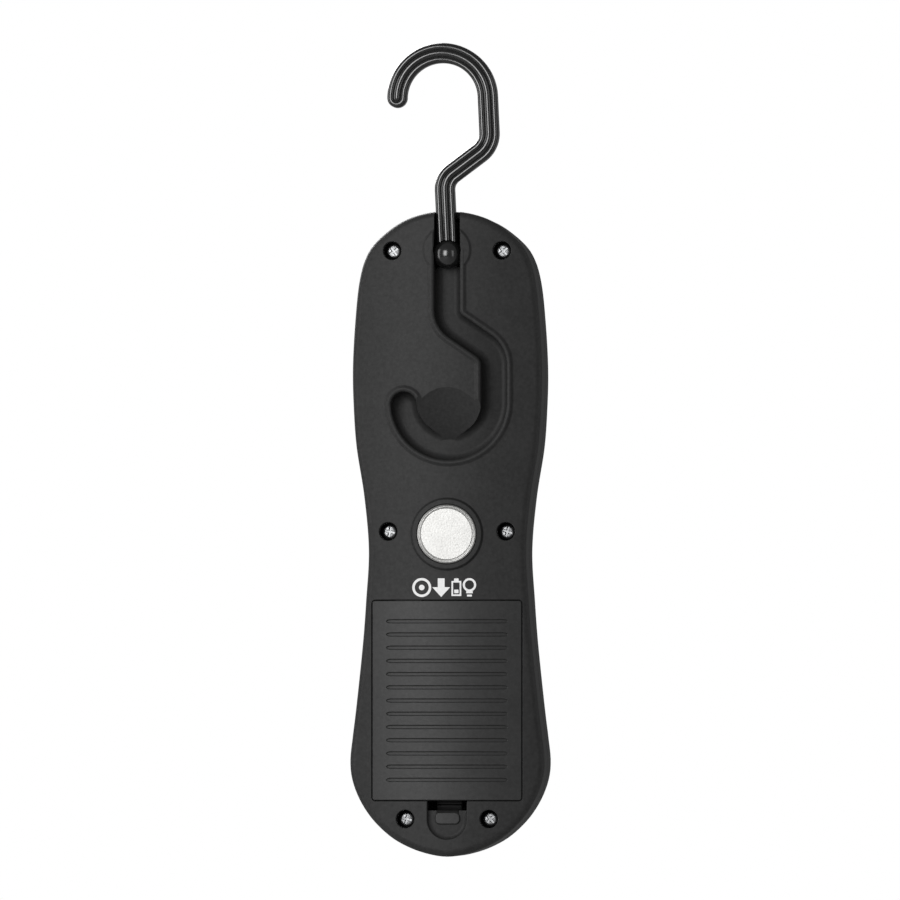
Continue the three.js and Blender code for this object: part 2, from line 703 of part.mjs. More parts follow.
function frontHousing() {
  let body = shell([10, FRONT], [8, FRONT - WALL], [0, PARTING + GAP / 2]);
  for (const [x, z] of screwPlaces) body = body.add(peg(POST_RADIUS, SCREW_BOSS_END + GAP, FRONT - 1, x, z, 10));
  for (const z of BOARD_SCREW_Z) {
    const x = z === BOARD_SCREW_Z[0] ? BOARD_SCREW_X : -BOARD_SCREW_X;
    body = body.add(peg(2.6, BOARD_FRONT + GAP, FRONT - 1, x, z, 10));
  }
  body = body
    .subtract(slab(windowOutline(), FRONT - 5, FRONT + 1))
    .subtract(slab(windowOutline(LENS_FLANGE + GAP), 20, FRONT - WALL))
    .subtract(peg(BUTTON_RADIUS + GAP, 20, FRONT + 1, 0, BUTTON_HEIGHT, 28));
  for (const [x, z] of screwPlaces) body = body.subtract(peg(SCREW_HOLE_RADIUS, 10, 25, x, z, 8));
  for (const z of BOARD_SCREW_Z) {
    const x = z === BOARD_SCREW_Z[0] ? BOARD_SCREW_X : -BOARD_SCREW_X;
    body = body.subtract(peg(1.2, 10, 25, x, z, 8));
  }
  return body;
}

function lens() {
  const flange = slab(windowOutline(LENS_FLANGE), REFLECTOR_FRONT + GAP + 0.5, FRONT - WALL - GAP);
  return flange.add(slab(windowOutline(-GAP), REFLECTOR_FRONT + GAP + 0.5, FRONT - 0.2, 0.4));
}

const ledPlaces = [];
for (let row = 0; row < LED_ROWS; row++) {
  for (let column = 0; column < LED_COLUMNS; column++) {
    const x = (column - (LED_COLUMNS - 1) / 2) * LED_COLUMN_PITCH;
    ledPlaces.push([x, LED_LOWEST + row * LED_ROW_PITCH]);
  }
}

// The bright tray with a cone round every LED.
function reflector() {
  let tray = slab(windowOutline(-0.6), REFLECTOR_BACK, REFLECTOR_FRONT);
  const narrow = LED_RADIUS + GAP;
  const profile = [
    [0, REFLECTOR_BACK - 1],
    [narrow, REFLECTOR_BACK - 1],
    [narrow, REFLECTOR_BACK + 0.5],
    [3.8, REFLECTOR_FRONT + 0.2],
    [0, REFLECTOR_FRONT + 0.2],
  ];
  for (const [x, z] of ledPlaces) tray = tray.subtract(turned(profile, x, z, 8));
  return tray;
}

function led([x, z]) {
  const base = BOARD_FRONT + GAP;
  const dome = LED_TIP - LED_RADIUS;
  const profile = [
    [0, base],
    [2.9, base],
    [2.9, base + 1],
    [LED_RADIUS, base + 1],
    [LED_RADIUS, dome],
    [LED_RADIUS * 0.77, dome + LED_RADIUS * 0.64],
    [0, LED_TIP],
  ];
  return turned(profile, x, z, 7);
}

function ledBoard() {
  const room = block(-40, 40, BOARD_BACK, BOARD_FRONT, BOARD_BOTTOM, 110);
  let board = slab(bodyOutline(BOARD_INSET, 48), BOARD_BACK, BOARD_FRONT).intersect(room);
  for (const [x, z] of screwPlaces.slice(0, 4)) board = board.subtract(peg(POST_RADIUS + 0.8, 10, 20, x, z, 12));
  for (const z of BOARD_SCREW_Z) {
    const x = z === BOARD_SCREW_Z[0] ? BOARD_SCREW_X : -BOARD_SCREW_X;
    board = board.subtract(peg(1.4, 10, 20, x, z, 10));
  }
  return board;
}

// --- Switch and button ---------------------------------------------------------------------------------

const SWITCH_TOP = 23.3;
const PLUNGER_TOP = 26.1;

function switchBody() {
  const base = BOARD_FRONT + GAP;
  const body = block(-4, 4, base, SWITCH_TOP, BUTTON_HEIGHT - 4, BUTTON_HEIGHT + 4);
  return body.subtract(peg(2.1, base + 1.4, SWITCH_TOP + 1, 0, BUTTON_HEIGHT, 12));
}

function switchPlunger() {
  return peg(1.75, BOARD_FRONT + 2 * GAP + 1.4 + BUTTON_TRAVEL, PLUNGER_TOP, 0, BUTTON_HEIGHT, 12);
}

function powerButton() {
  const base = PLUNGER_TOP + GAP;
  const top = FRONT + BUTTON_PROUD;
  const profile = [
    [0, base],
    [BUTTON_RADIUS + 1.5, base],
    [BUTTON_RADIUS + 1.5, FRONT - WALL - GAP],
    [BUTTON_RADIUS, FRONT - WALL - GAP],
    [BUTTON_RADIUS, top - 0.8],
    [BUTTON_RADIUS - 0.8, top - 0.2],
    [0, top],
  ];
  return turned(profile, 0, BUTTON_HEIGHT, 24);
}

// --- Screws ----------------------------------------------------------------------------------------------

// A pan-head screw along Y with a cross recess, its head towards the back.
function screw(x, z, seat, headRadius, headHeight, shankRadius, length) {
  const top = seat - headHeight;
  const profile = [
    [0, top],
    [headRadius * 0.8, top],
    [headRadius, top + headHeight * 0.4],
    [headRadius, seat],
    [shankRadius, seat],
    [shankRadius, seat + length - 1],
    [0, seat + length],
  ];
  const arm = headRadius * 0.62;
  const half = headRadius * 0.15;
  return turned(profile, x, z, 12)
    .subtract(block(x - arm, x + arm, top - 1, top + 0.9, z - half, z + half))
    .subtract(block(x - half, x + half, top - 1, top + 0.9, z - arm, z + arm));
}

// --- The assembly ------------------------------------------------------------------------------------------

place("rear_housing", rearHousing(), MATT_BLACK);
place("front_housing", frontHousing(), MATT_BLACK);
place("battery_door", batteryDoor(), MATT_BLACK);
place("latch_spring", latchSpring(), MATT_BLACK);
place("battery_door_latch", latchTongue(), MATT_BLACK);
place("hook_ball", hookBall(), GLOSS_BLACK);
place("hook", hookRod(), GLOSS_BLACK);
place("magnet", magnet(), NICKEL);
place("magnet_retainer", magnetRetainer(), MATT_BLACK);
place("lens", lens(), CLEAR);
place("reflector", reflector(), MIRROR);
place("led_board", ledBoard(), BOARD_GREEN);
place("power_button", powerButton(), SOFT_BLACK);
place("switch_body", switchBody(), SWITCH_GREY);
place("switch_plunger", switchPlunger(), SWITCH_GREY);
ledPlaces.forEach((spot, index) => {
  place("led_" + String(index + 1).padStart(2, "0"), led(spot), CLEAR);
});
CELLS.forEach((spec, index) => {
  place("battery_cell_" + (index + 1), cell(spec), CELL_SLEEVE);
  place("contact_spring_" + (index + 1), contactSpring(spec), SPRING_STEEL);
});
place("contact_plate_top_single", contactPlate(-CELL_PITCH, -CELL_PITCH, true), NICKEL);
place("contact_plate_top_double", contactPlate(0, CELL_PITCH, true), NICKEL);
place("contact_plate_bottom_double", contactPlate(-CELL_PITCH, 0, false), NICKEL);
place("contact_plate_bottom_single", contactPlate(CELL_PITCH, CELL_PITCH, false), NICKEL);

const POSITIVE_ROUTE = [
  [-CELL_PITCH, 14.6, BAY_TOP],
  [-CELL_PITCH, 14.6, BAY_TOP + 3.5],
  [-CELL_PITCH, 14.9, BAY_TOP + 6],
  [-CELL_PITCH, BOARD_BACK - 2 * GAP, BAY_TOP + 8],
];
const NEGATIVE_ROUTE = [
  [CELL_PITCH, 14.6, BAY_BOTTOM],
  [CELL_PITCH, 14.6, BAY_BOTTOM - 1.6],
  [CELL_PITCH, 15.4, BAY_BOTTOM - 3.4],
  [CELL_PITCH, 18.4, BAY_BOTTOM - 4.4],
  [CELL_PITCH, 21.9, BAY_BOTTOM - 1.2],
  [CELL_PITCH, 22.1, BAY_BOTTOM + 18],
  [CELL_PITCH, 22.1, BAY_BOTTOM + 42],
  [CELL_PITCH, 21.6, BAY_TOP + 4],
  [CELL_PITCH, BOARD_FRONT + 2 * GAP, BAY_TOP + 8.5],
];
place("wire_positive", wire(POSITIVE_ROUTE, WIRE_RADIUS, 8, 10), RED_WIRE);
place("wire_negative", wire(NEGATIVE_ROUTE, WIRE_RADIUS, 8, 18), BLACK_WIRE);

screwPlaces.forEach(([x, z], index) => {
  const body = screw(x, z, WELL_FLOOR, SCREW_HEAD_RADIUS, SCREW_HEAD_HEIGHT, SCREW_SHANK_RADIUS, 14);
  place("housing_screw_" + (index + 1), body, ZINC);
});
BOARD_SCREW_Z.forEach((z, index) => {
  const x = index === 0 ? BOARD_SCREW_X : -BOARD_SCREW_X;
  place("board_screw_" + (index + 1), screw(x, z, BOARD_BACK - GAP, 1.9, 1.2, 0.9, 8), ZINC);
});

export default group;
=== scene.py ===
"""A hand-held battery work light, seen from the back: two moulded halves with a fold-away hook,
a magnet and a battery door behind, and 24 LEDs behind a clear window in front."""
import json
import math

import bmesh
import bpy
from mathutils import Matrix, Vector


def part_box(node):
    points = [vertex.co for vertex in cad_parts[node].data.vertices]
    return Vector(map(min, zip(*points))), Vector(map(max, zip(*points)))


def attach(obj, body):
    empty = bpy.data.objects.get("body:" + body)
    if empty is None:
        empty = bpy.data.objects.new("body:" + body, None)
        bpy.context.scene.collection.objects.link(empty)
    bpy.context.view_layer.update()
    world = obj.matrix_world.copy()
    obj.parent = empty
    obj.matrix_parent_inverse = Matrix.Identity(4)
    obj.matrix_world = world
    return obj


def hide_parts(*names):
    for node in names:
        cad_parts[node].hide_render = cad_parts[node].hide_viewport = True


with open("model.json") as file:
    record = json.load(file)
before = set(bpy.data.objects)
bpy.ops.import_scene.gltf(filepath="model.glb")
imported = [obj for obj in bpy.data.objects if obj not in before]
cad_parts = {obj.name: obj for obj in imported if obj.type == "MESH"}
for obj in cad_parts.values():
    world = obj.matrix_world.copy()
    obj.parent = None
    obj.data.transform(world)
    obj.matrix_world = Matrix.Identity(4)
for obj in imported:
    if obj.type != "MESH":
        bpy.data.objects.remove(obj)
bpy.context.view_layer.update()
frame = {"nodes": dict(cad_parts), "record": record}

# --- Camera, lamps and floor --------------------------------------------------------------------
# A white product table: the light hangs upright, back to the camera, with a tall soft lamp in
# front on the left, a narrow one on the right and a pale floor well below.

MM = 0.001

scene = bpy.context.scene
scene.view_settings.view_transform = "Standard"

CAMERA_AIM = Vector((1.07, 0, 25.6)) * MM
CAMERA_DISTANCE = 4.0
CAMERA_SIDE = math.radians(4.8)
CAMERA_RISE = math.radians(-1.2)
SENSOR_WIDTH = 36
LENS = 524.8
AMBIENT = 0.2

camera = bpy.data.objects.new("camera", bpy.data.cameras.new("camera"))
scene.collection.objects.link(camera)
scene.camera = camera
camera.data.sensor_width = SENSOR_WIDTH
camera.data.lens = LENS
camera_side = Vector((math.sin(CAMERA_SIDE), -math.cos(CAMERA_SIDE), math.tan(CAMERA_RISE))).normalized()
camera.location = CAMERA_AIM + CAMERA_DISTANCE * camera_side
camera.rotation_euler = (CAMERA_AIM - camera.location).to_track_quat("-Z", "Y").to_euler()


def lamp(name, side, rise, distance, width, height, power):
    """A rectangular soft lamp that faces the light, placed by its angles from straight behind."""
    side = math.radians(side)
    rise = math.radians(rise)
    made = bpy.data.objects.new(name, bpy.data.lights.new(name, "AREA"))
    scene.collection.objects.link(made)
    made.data.shape = "RECTANGLE"
    made.data.size = width
    made.data.size_y = height
    made.data.energy = power
    away = Vector((math.sin(side) * math.cos(rise), -math.cos(side) * math.cos(rise), math.sin(rise)))
    made.location = away * distance
    made.rotation_euler = (-away).to_track_quat("-Z", "Y").to_euler()
    return made


lamp("key_lamp", -18, 11, 1.1, 0.45, 0.7, 7)
lamp("right_lamp", 42, 8, 1.2, 0.25, 0.9, 1.2)
lamp("right_edge_lamp", 112, 5, 0.9, 0.5, 1.0, 0.8)
lamp("left_edge_lamp", -78, 4, 0.9, 0.4, 1.0, 3)
lamp("window_lamp", -152, 30, 1.3, 0.8, 0.8, 16)

world = bpy.data.worlds.new("studio")
world.use_nodes = True
scene.world = world
air = world.node_tree
ambient = air.nodes["Background"]
ambient.inputs["Strength"].default_value = AMBIENT
ambient.inputs["Color"].default_value = (1, 1, 1, 1)
backdrop = air.nodes.new("ShaderNodeBackground")
backdrop.inputs["Color"].default_value = (1, 1, 1, 1)
rays = air.nodes.new("ShaderNodeLightPath")
seen = air.nodes.new("ShaderNodeMixShader")
air.links.new(rays.outputs["Is Camera Ray"], seen.inputs[0])
air.links.new(ambient.outputs[0], seen.inputs[1])
air.links.new(backdrop.outputs[0], seen.inputs[2])
air.links.new(seen.outputs[0], air.nodes["World Output"].inputs["Surface"])


class Value:
    """A socket in a finish's node tree, so that maths on it reads as an expression."""

    def __init__(self, finish, socket):
        self.finish = finish
        self.socket = socket

    def _with(self, operation, first, second):
        return self.finish.node("Math", {"operation": operation}, {0: first, 1: second})

    def __add__(self, other):
        return self._with("ADD", self, other)

    def __sub__(self, other):
        return self._with("SUBTRACT", self, other)

    def __rsub__(self, other):
        return self._with("SUBTRACT", other, self)

    def __mul__(self, other):
        return self._with("MULTIPLY", self, other)

    def __gt__(self, other):
        return self._with("GREATER_THAN", self, other)

    def __lt__(self, other):
        return self._with("LESS_THAN", self, other)

    __radd__ = __add__
    __rmul__ = __mul__


class Finish:
    """A procedural finish: a material of its own, built round one Principled shader."""

    def __init__(self, name, sockets):
        self.material = bpy.data.materials.new(name)
        self.material.use_nodes = True
        self.tree = self.material.node_tree
        self.shader = self.tree.nodes["Principled BSDF"]
        self.place = self.node("TexCoord", output="Object")
        self.feed(self.shader, sockets)

    def feed(self, node, sockets):
        """Sets a node's sockets to numbers and colours, or links values to them."""
        for key, value in sockets.items():
            if isinstance(value, Value):
                self.tree.links.new(value.socket, node.inputs[key])
            else:
                node.inputs[key].default_value = value

    def node(self, kind, settings=None, sockets=None, output=0):
        """Adds a node: its settings first, then its sockets, and gives one of its outputs."""
        made = self.tree.nodes.new("ShaderNode" + kind)
        for name, setting in (settings or {}).items():
            if name == "stops":
                ramp = made.color_ramp.elements
                while len(ramp) < len(setting):
                    ramp.new(1)
                for stop, (position, colour) in zip(ramp, setting):
                    stop.position = position
                    stop.color = (*colour, 1)
            else:
                setattr(made, name, setting)
        self.feed(made, sockets or {})
        return Value(self, made.outputs[output])

    def noise(self, scale, detail=2, stretch=(1, 1, 1)):
        """Soft random values from 0 to 1, this many patches to the metre."""
        at = self.node("Mapping", None, {"Vector": self.place, "Scale": stretch})
        return self.node("TexNoise", None, {"Vector": at, "Scale": scale, "Detail": detail})

    def mix(self, mask, colour, other):
        """One colour where the mask is 0 and the other where it is 1."""
        return self.node("Mix", {"data_type": "RGBA"}, {0: mask, 6: colour, 7: other}, 2)

    def tint(self, mask, dark, light, roughness, spread):
        """Varies the colour and the roughness together over a mask."""
        sockets = {"Base Color": self.mix(mask, dark, light), "Roughness": roughness + mask * spread}
        self.feed(self.shader, sockets)

    def bump(self, height, strength, distance, normal=None):
        """Raises the surface by a height, on the shader's Normal."""
        sockets = {"Height": height, "Strength": strength, "Distance": distance}
        if normal:
            sockets["Normal"] = normal
        self.feed(self.shader, {"Normal": self.node("Bump", None, sockets)})


def grey(level):
    """A neutral colour."""
    return (level, level, level, 1)


def disc(x, z, radius, count=64):
    """The outline of a circle across the light, in millimetres."""

    def outline(grow):
        turns = [2 * math.pi * i / count for i in range(count)]
        return [(x + (radius + grow) * math.sin(a), z + (radius + grow) * math.cos(a)) for a in turns]

    return outline


def solid(name, shape):
    """Turns a bmesh into an object in the scene, with its faces outwards."""
    bmesh.ops.recalc_face_normals(shape, faces=shape.faces)
    mesh = bpy.data.meshes.new(name)
    shape.to_mesh(mesh)
    shape.free()
    made = bpy.data.objects.new(name, mesh)
    scene.collection.objects.link(made)
    return made


def stack(name, outline, levels):
    """A closed solid through one outline at several depths (grow, y), grown or shrunk at each."""
    shape = bmesh.new()
    rings = []
    for grow, depth in levels:
        rings.append([shape.verts.new((x * MM, depth * MM, z * MM)) for x, z in outline(grow)])
    shape.faces.new(rings[0])
    shape.faces.new(rings[-1])
    for low, high in zip(rings, rings[1:]):
        for i in range(len(low)):
            shape.faces.new((low[i - 1], low[i], high[i], high[i - 1]))
    return solid(name, shape)


FLOOR_HEIGHT = -300
FLOOR_RADIUS = 900

floor_paint = Finish("grey floor", {"Roughness": 0.7})
floor_paint.feed(
    floor_paint.shader,
    {"Base Color": floor_paint.mix(floor_paint.noise(8), grey(0.36), grey(0.40))},
)
floor = stack("floor", disc(0, 0, FLOOR_RADIUS, 96), [(0, 0), (0, 10)])
floor.data.transform(Matrix.Rotation(-math.pi / 2, 4, "X"))
floor.location.z = FLOOR_HEIGHT * MM
floor.data.materials.append(floor_paint.material)


# --- Rear housing -------------------------------------------------------------------------------
# The back half of the body, injection moulded in black ABS with a fine spark-eroded texture. Its
# wall is 2 mm thick, and the hook's channel, the screw wells and the battery bay are moulded in.

BACK = 1.5
PARTING = 16
WALL = 2
EDGE_ROUND = 2.2
BODY_STATIONS = (
    # height, half width
    (98.6, 0), (97.6, 8.1), (94.9, 14.8), (88.5, 22.5), (84, 25.15), (77.5, 26.9), (65, 28.25),
    (50, 29), (38, 28.7), (27, 27.9), (11.6, 25.5), (-5, 24.1), (-20, 24.9), (-32.3, 25.8),
    (-54.3, 28.1), (-62, 29.05), (-68.9, 29.75), (-74, 29.35), (-79.9, 27.4), (-86, 23.75),
    (-90.9, 19.1), (-94, 14.8), (-97, 7.9), (-98.4, 0),
)
BODY_POINTS = 288
STATION_POINTS = 48


def smooth_loop(stations, count):
    """Evenly spaced points on a smooth closed curve through stations, each with its outward side."""
    dense = []
    for i in range(len(stations)):
        before, start, end, after = (Vector(stations[(i + k) % len(stations)]) for k in (-1, 0, 1, 2))
        gaps = [math.sqrt((b - a).length) for a, b in ((before, start), (start, end), (end, after))]
        leave = (start - before) / gaps[0] - (end - before) / (gaps[0] + gaps[1]) + (end - start) / gaps[1]
        arrive = (end - start) / gaps[1] - (after - start) / (gaps[1] + gaps[2]) + (after - end) / gaps[2]
        leave *= gaps[1]
        arrive *= gaps[1]
        for k in range(STATION_POINTS):
            t = k / STATION_POINTS
            square = 3 * (end - start) - 2 * leave - arrive
            cube = 2 * (start - end) + leave + arrive
            dense.append(start + leave * t + square * t * t + cube * t * t * t)
    lengths = [0]
    for near, far in zip(dense, dense[1:] + dense[:1]):
        lengths.append(lengths[-1] + (far - near).length)
    points = []
    at = 0
    for i in range(count):
        wanted = lengths[-1] * i / count
        while lengths[at + 1] < wanted:
            at += 1
        share = (wanted - lengths[at]) / (lengths[at + 1] - lengths[at])
        points.append(dense[at].lerp(dense[(at + 1) % len(dense)], share))
    sides = []
    for i in range(count):
        along = (points[(i + 1) % count] - points[i - 1]).normalized()
        sides.append(Vector((-along.y, along.x)))
    return points, sides


right_side = [(half, height) for height, half in BODY_STATIONS]
left_side = [(-half, height) for height, half in BODY_STATIONS[-2:0:-1]]
BODY_LOOP, BODY_SIDES = smooth_loop(right_side + left_side, BODY_POINTS)


def body_outline(grow):
    """The body's waisted outline, in millimetres."""
    return [tuple(point + side * grow) for point, side in zip(BODY_LOOP, BODY_SIDES)]


def span(node):
    """A CAD node's box in millimetres: left, right, back, front, low, high."""
    low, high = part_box(node)
    return [value / MM for pair in zip(low, high) for value in pair]


def middle(node):
    """The middle of a CAD node's box, in millimetres."""
    left, right, back, front, low, high = span(node)
    return (left + right) / 2, (back + front) / 2, (low + high) / 2


JOINTS = {joint["name"]: joint for joint in frame["record"]["behaviour"]["joints"]}
PIVOT_Y = middle("hook_ball")[1]
PIVOT_Z = round(JOINTS["hook_fold"]["pos_m"][2] / MM, 2)
PIN_SLOPE = math.radians(1.3)
HOOK_STEM = 18.4
HOOK_OFFSET = 14.4
HOOK_LEAN = math.radians(34.2)
HOOK_FIRST_BEND = 6
HOOK_SECOND_BEND = 7.5
CROWN_SIDE = 0.55
CROWN_DISTANCE = 46.35
CROWN_RADIUS = 13.85
CROWN_END = math.radians(176.5)
CAP_STEPS = 16


def hook_line(start, step=1.2):
    """The hook's centreline from a distance above its pivot to its tip: side, distance, heading."""
    turn = math.pi / 2 - HOOK_LEAN
    bends = HOOK_FIRST_BEND + HOOK_SECOND_BEND
    slant = (HOOK_OFFSET - bends * (1 - math.cos(turn))) / math.cos(HOOK_LEAN)
    shoulder = HOOK_STEM + bends * math.sin(turn) + slant * math.sin(HOOK_LEAN)
    stations = [(0, start, math.pi / 2)]

    def straight(side, distance):
        last_side, last_distance, heading = stations[-1]
        length = math.hypot(side - last_side, distance - last_distance)
        count = max(1, round(length / step))
        for i in range(1, count + 1):
            near = last_side + (side - last_side) * i / count
            far = last_distance + (distance - last_distance) * i / count
            stations.append((near, far, heading))

    def bend(side, distance, radius, first, last):
        count = max(2, round(radius * abs(last - first) / step))
        quarter_turn = math.copysign(math.pi / 2, last - first)
        for i in range(1, count + 1):
            angle = first + (last - first) * i / count
            point = (side + radius * math.cos(angle), distance + radius * math.sin(angle))
            stations.append((*point, angle + quarter_turn))

    straight(0, HOOK_STEM)
    bend(HOOK_FIRST_BEND, HOOK_STEM, HOOK_FIRST_BEND, math.pi, math.pi - turn)
    second = HOOK_OFFSET - HOOK_SECOND_BEND
    straight(second + HOOK_SECOND_BEND * math.cos(turn), shoulder - HOOK_SECOND_BEND * math.sin(turn))
    bend(second, shoulder, HOOK_SECOND_BEND, -turn, 0)
    straight(HOOK_OFFSET, CROWN_DISTANCE)
    bend(CROWN_SIDE, CROWN_DISTANCE, CROWN_RADIUS, 0, CROWN_END)
    return stations


def folded(start, half):
    """The outline of a slot that follows the folded hook down from its pivot, round its tip."""
    line = hook_line(start)

    def outline(grow):
        reach = half + grow
        near = [(s - reach * math.sin(h), PIVOT_Z - d - reach * math.cos(h)) for s, d, h in line]
        far = [(s + reach * math.sin(h), PIVOT_Z - d + reach * math.cos(h)) for s, d, h in line]
        tip_side, tip_distance, heading = line[-1]
        cap = []
        for i in range(1, CAP_STEPS):
            turn = heading + math.pi / 2 - math.pi * i / CAP_STEPS
            point = (tip_side + reach * math.cos(turn), PIVOT_Z - tip_distance - reach * math.sin(turn))
            cap.append(point)
        return near + cap + far[::-1]

    return outline


def rod(radius, start, end, turns=32):
    """A plain round bar between two points, in millimetres."""
    start = Vector(start)
    along = Vector(end) - start
    made = stack("rod", disc(0, 0, radius, turns), [(0, 0), (0, along.length)])
    turn = along.to_track_quat("Y", "Z").to_matrix().to_4x4()
    made.data.transform(Matrix.Translation(start * MM) @ turn)
    return made


def cross_pin(radius, reach):
    """A round bar through the pivot, from side to side."""
    return rod(radius, (-reach, PIVOT_Y, PIVOT_Z), (reach, PIVOT_Y, PIVOT_Z))


def leaned(part, angle):
    """Turns a part about the pivot, towards the side that the raised hook leans to."""
    pivot = Vector((0, PIVOT_Y, PIVOT_Z)) * MM
    turn = Matrix.Rotation(-angle, 4, "Y")
    part.data.transform(Matrix.Translation(pivot) @ turn @ Matrix.Translation(-pivot))
    return part


CHANNEL_HALF_WIDTH = 3.95
CHANNEL_FLOOR = 8.4
CHANNEL_CORNER = 2.4
RIM_WIDTH = 1.8
RIM_FACE = 0.8
EAR_RADIUS = 7.3
EAR_FACE = 0.9
SCOOP_TOP = 44.9
SCOOP_END = 29.0
SCOOP_RADIUS = 22.6
MAGNET_BOSS_RADIUS = 10.85
MAGNET_BOSS_FACE = 0.3
WELL_RADIUS = 2.8
WELL_FLOOR = 8.4
SCREW_BOSS_END = 12.9
POST_RADIUS = 3.2
LATCH_SCOOP_RADIUS = 6.05
LATCH_SCOOP_CENTRE = -87.05
LATCH_SCOOP_FLOOR = 3.4
SLOT_LOW = -84.3
SLOT_FRONT = 6.2
BALL_POCKET = (3.8, 4.95)  # radius, reach to each side
BALL_TROUGH = (6.1, 4.0)
PIN_HOLE = (1.8, 6.5)
MAGNET_GAP = 0.15
PILOT_RADIUS = 1.6
WIRE_HOLE_RADIUS = 1.2

MAGNET_RADIUS = span("magnet")[1]
DOOR_LEFT, DOOR_RIGHT, DOOR_FACE, _, DOOR_LOW, _ = span("battery_door")
DOOR_HIGH = -20.3
DOOR_SEAM = 0.22
TAB_X = 12
TAB_HALF_WIDTH = 4
BAY_SIDE = 22.6
BAY_LOW = -77.9
BAY_HIGH = -22
BAY_FLOOR = span("battery_cell_1")[3] + 0.3
SCREWS = ["housing_screw_" + str(i) for i in range(1, 7)]
SCREW_PLACES = [middle(screw)[::2] for screw in SCREWS]


def latch_scoop(grow):
    """The U-shaped scoop under the door, square at its top where the door's edge covers it."""
    radius = LATCH_SCOOP_RADIUS + grow
    points = [(radius, DOOR_LOW + 0.2), (-radius, DOOR_LOW + 0.2)]
    for i in range(33):
        turn = math.pi + math.pi * i / 32
        points.append((radius * math.cos(turn), LATCH_SCOOP_CENTRE + radius * math.sin(turn)))
    return points


def plate(left, right, low, high, corner, steps=8):
    """The outline of a rectangle with rounded corners."""

    def outline(grow):
        radius = max(corner + grow, 0.01)
        reach = grow - radius
        corners = (
            (right + reach, low - reach),
            (right + reach, high + reach),
            (left - reach, high + reach),
            (left - reach, low - reach),
        )
        points = []
        for index, (x, z) in enumerate(corners):
            for i in range(steps + 1):
                turn = math.pi / 2 * (index - 1 + i / steps)
                points.append((x + radius * math.cos(turn), z + radius * math.sin(turn)))
        return points

    return outline


def box(left, right, back, front, low, high, corner=0.01):
    """A plain block with its upright corners rounded."""
    return stack("block", plate(left, right, low, high, corner), [(0, back), (0, front)])


def quarter(start, end, first, steps=6):
    """Levels round a quarter of an ellipse, which leaves its start along the depth or across."""
    levels = []
    for i in range(1, steps + 1):
        near = math.cos(math.pi / 2 * i / steps)
        far = math.sin(math.pi / 2 * i / steps)
        if first == "depth":
            levels.append((end[0] + (start[0] - end[0]) * near, start[1] + (end[1] - start[1]) * far))
        else:
            levels.append((start[0] + (end[0] - start[0]) * far, end[1] + (start[1] - end[1]) * near))
    return levels


def carve(body, steps):
    """Joins tools to a solid or cuts them out of it, in order, and keeps only the result."""
    for operation, tool in steps:
        change = body.modifiers.new(operation, "BOOLEAN")
        change.operation = operation
        change.solver = "MANIFOLD"
        change.object = tool
    graph = bpy.context.evaluated_depsgraph_get()
    result = bpy.data.meshes.new_from_object(body.evaluated_get(graph))
    body.modifiers.clear()
    body.data = result
    for _, tool in steps:
        bpy.data.objects.remove(tool)
    return body


def add(tool):
    """A step for carve() that joins a tool."""
    return ("UNION", tool)


def cut(tool):
    """A step for carve() that cuts a tool out."""
    return ("DIFFERENCE", tool)


edge = [(-0.25, PARTING - 0.15), (0, PARTING - 0.4), (0, BACK + EDGE_ROUND)]
rear = stack("rear_shell", body_outline, edge + quarter(edge[-1], (-EDGE_ROUND, BACK), "depth", 8))

hollow = [(-WALL, PARTING + 1), (-WALL, BACK + WALL + 1)]
hollow += quarter(hollow[-1], (-WALL - 1, BACK + WALL), "depth")
lip = [(-WALL - 0.3, 12), (-WALL - 0.3, PARTING + 1.6)]

rim_side = RIM_WIDTH + CHANNEL_HALF_WIDTH


def swell(outer, inner, top, steps=10):
    """Levels of a raised shape whose flank rises from the back face in a soft double bend."""
    levels = [(outer, BACK + 1.5), (outer, BACK)]
    for i in range(1, steps + 1):
        share = i / steps
        rise = (1 - math.cos(math.pi * share)) / 2
        levels.append((outer + (inner - outer) * share, BACK + (top - BACK) * rise))
    return levels


rim = swell(0.35, -RIM_WIDTH / 2, RIM_FACE)
ear = swell(0.35, -0.6, EAR_FACE)
boss = swell(0.4, -0.45, MAGNET_BOSS_FACE)

channel = [(RIM_WIDTH / 2, -3), (RIM_WIDTH / 2, RIM_FACE)]
channel += quarter(channel[-1], (0, RIM_FACE + RIM_WIDTH / 2), "across", 8)
channel += [(0, CHANNEL_FLOOR - CHANNEL_CORNER)]
channel += quarter(channel[-1], (-CHANNEL_CORNER, CHANNEL_FLOOR), "depth", 8)

seam = [(0.3, BACK - 2), (0.3, BACK)] + quarter((0.3, BACK), (0, BACK + 0.3), "across", 3)
seam += [(0, DOOR_FACE + 2.3)]
door_place = plate(
    DOOR_LEFT - DOOR_SEAM,
    DOOR_RIGHT + DOOR_SEAM,
    DOOR_LOW - DOOR_SEAM,
    DOOR_HIGH + DOOR_SEAM,
    1.2,
)

scoop = [(0.35, 0), (0.35, BACK)] + quarter((0.35, BACK), (0, BACK + 0.35), "across", 4)
scoop += [(0, LATCH_SCOOP_FLOOR - 1.3)]
scoop += quarter(scoop[-1], (-1.3, LATCH_SCOOP_FLOOR), "depth")

magnet_hole = [(0.2, -1), (0.2, MAGNET_BOSS_FACE), (0, MAGNET_BOSS_FACE + 0.2), (0, 5)]
well = [(0.25, -1), (0.25, BACK)] + quarter((0.25, BACK), (0, BACK + 0.25), "across", 3)
well += [(0, WELL_FLOOR - 0.3), (-0.3, WELL_FLOOR)]


def slide(node_levels, x, z, radius):
    """A round tool across the light at one place."""
    return stack("tool", disc(x, z, radius, 48), node_levels)


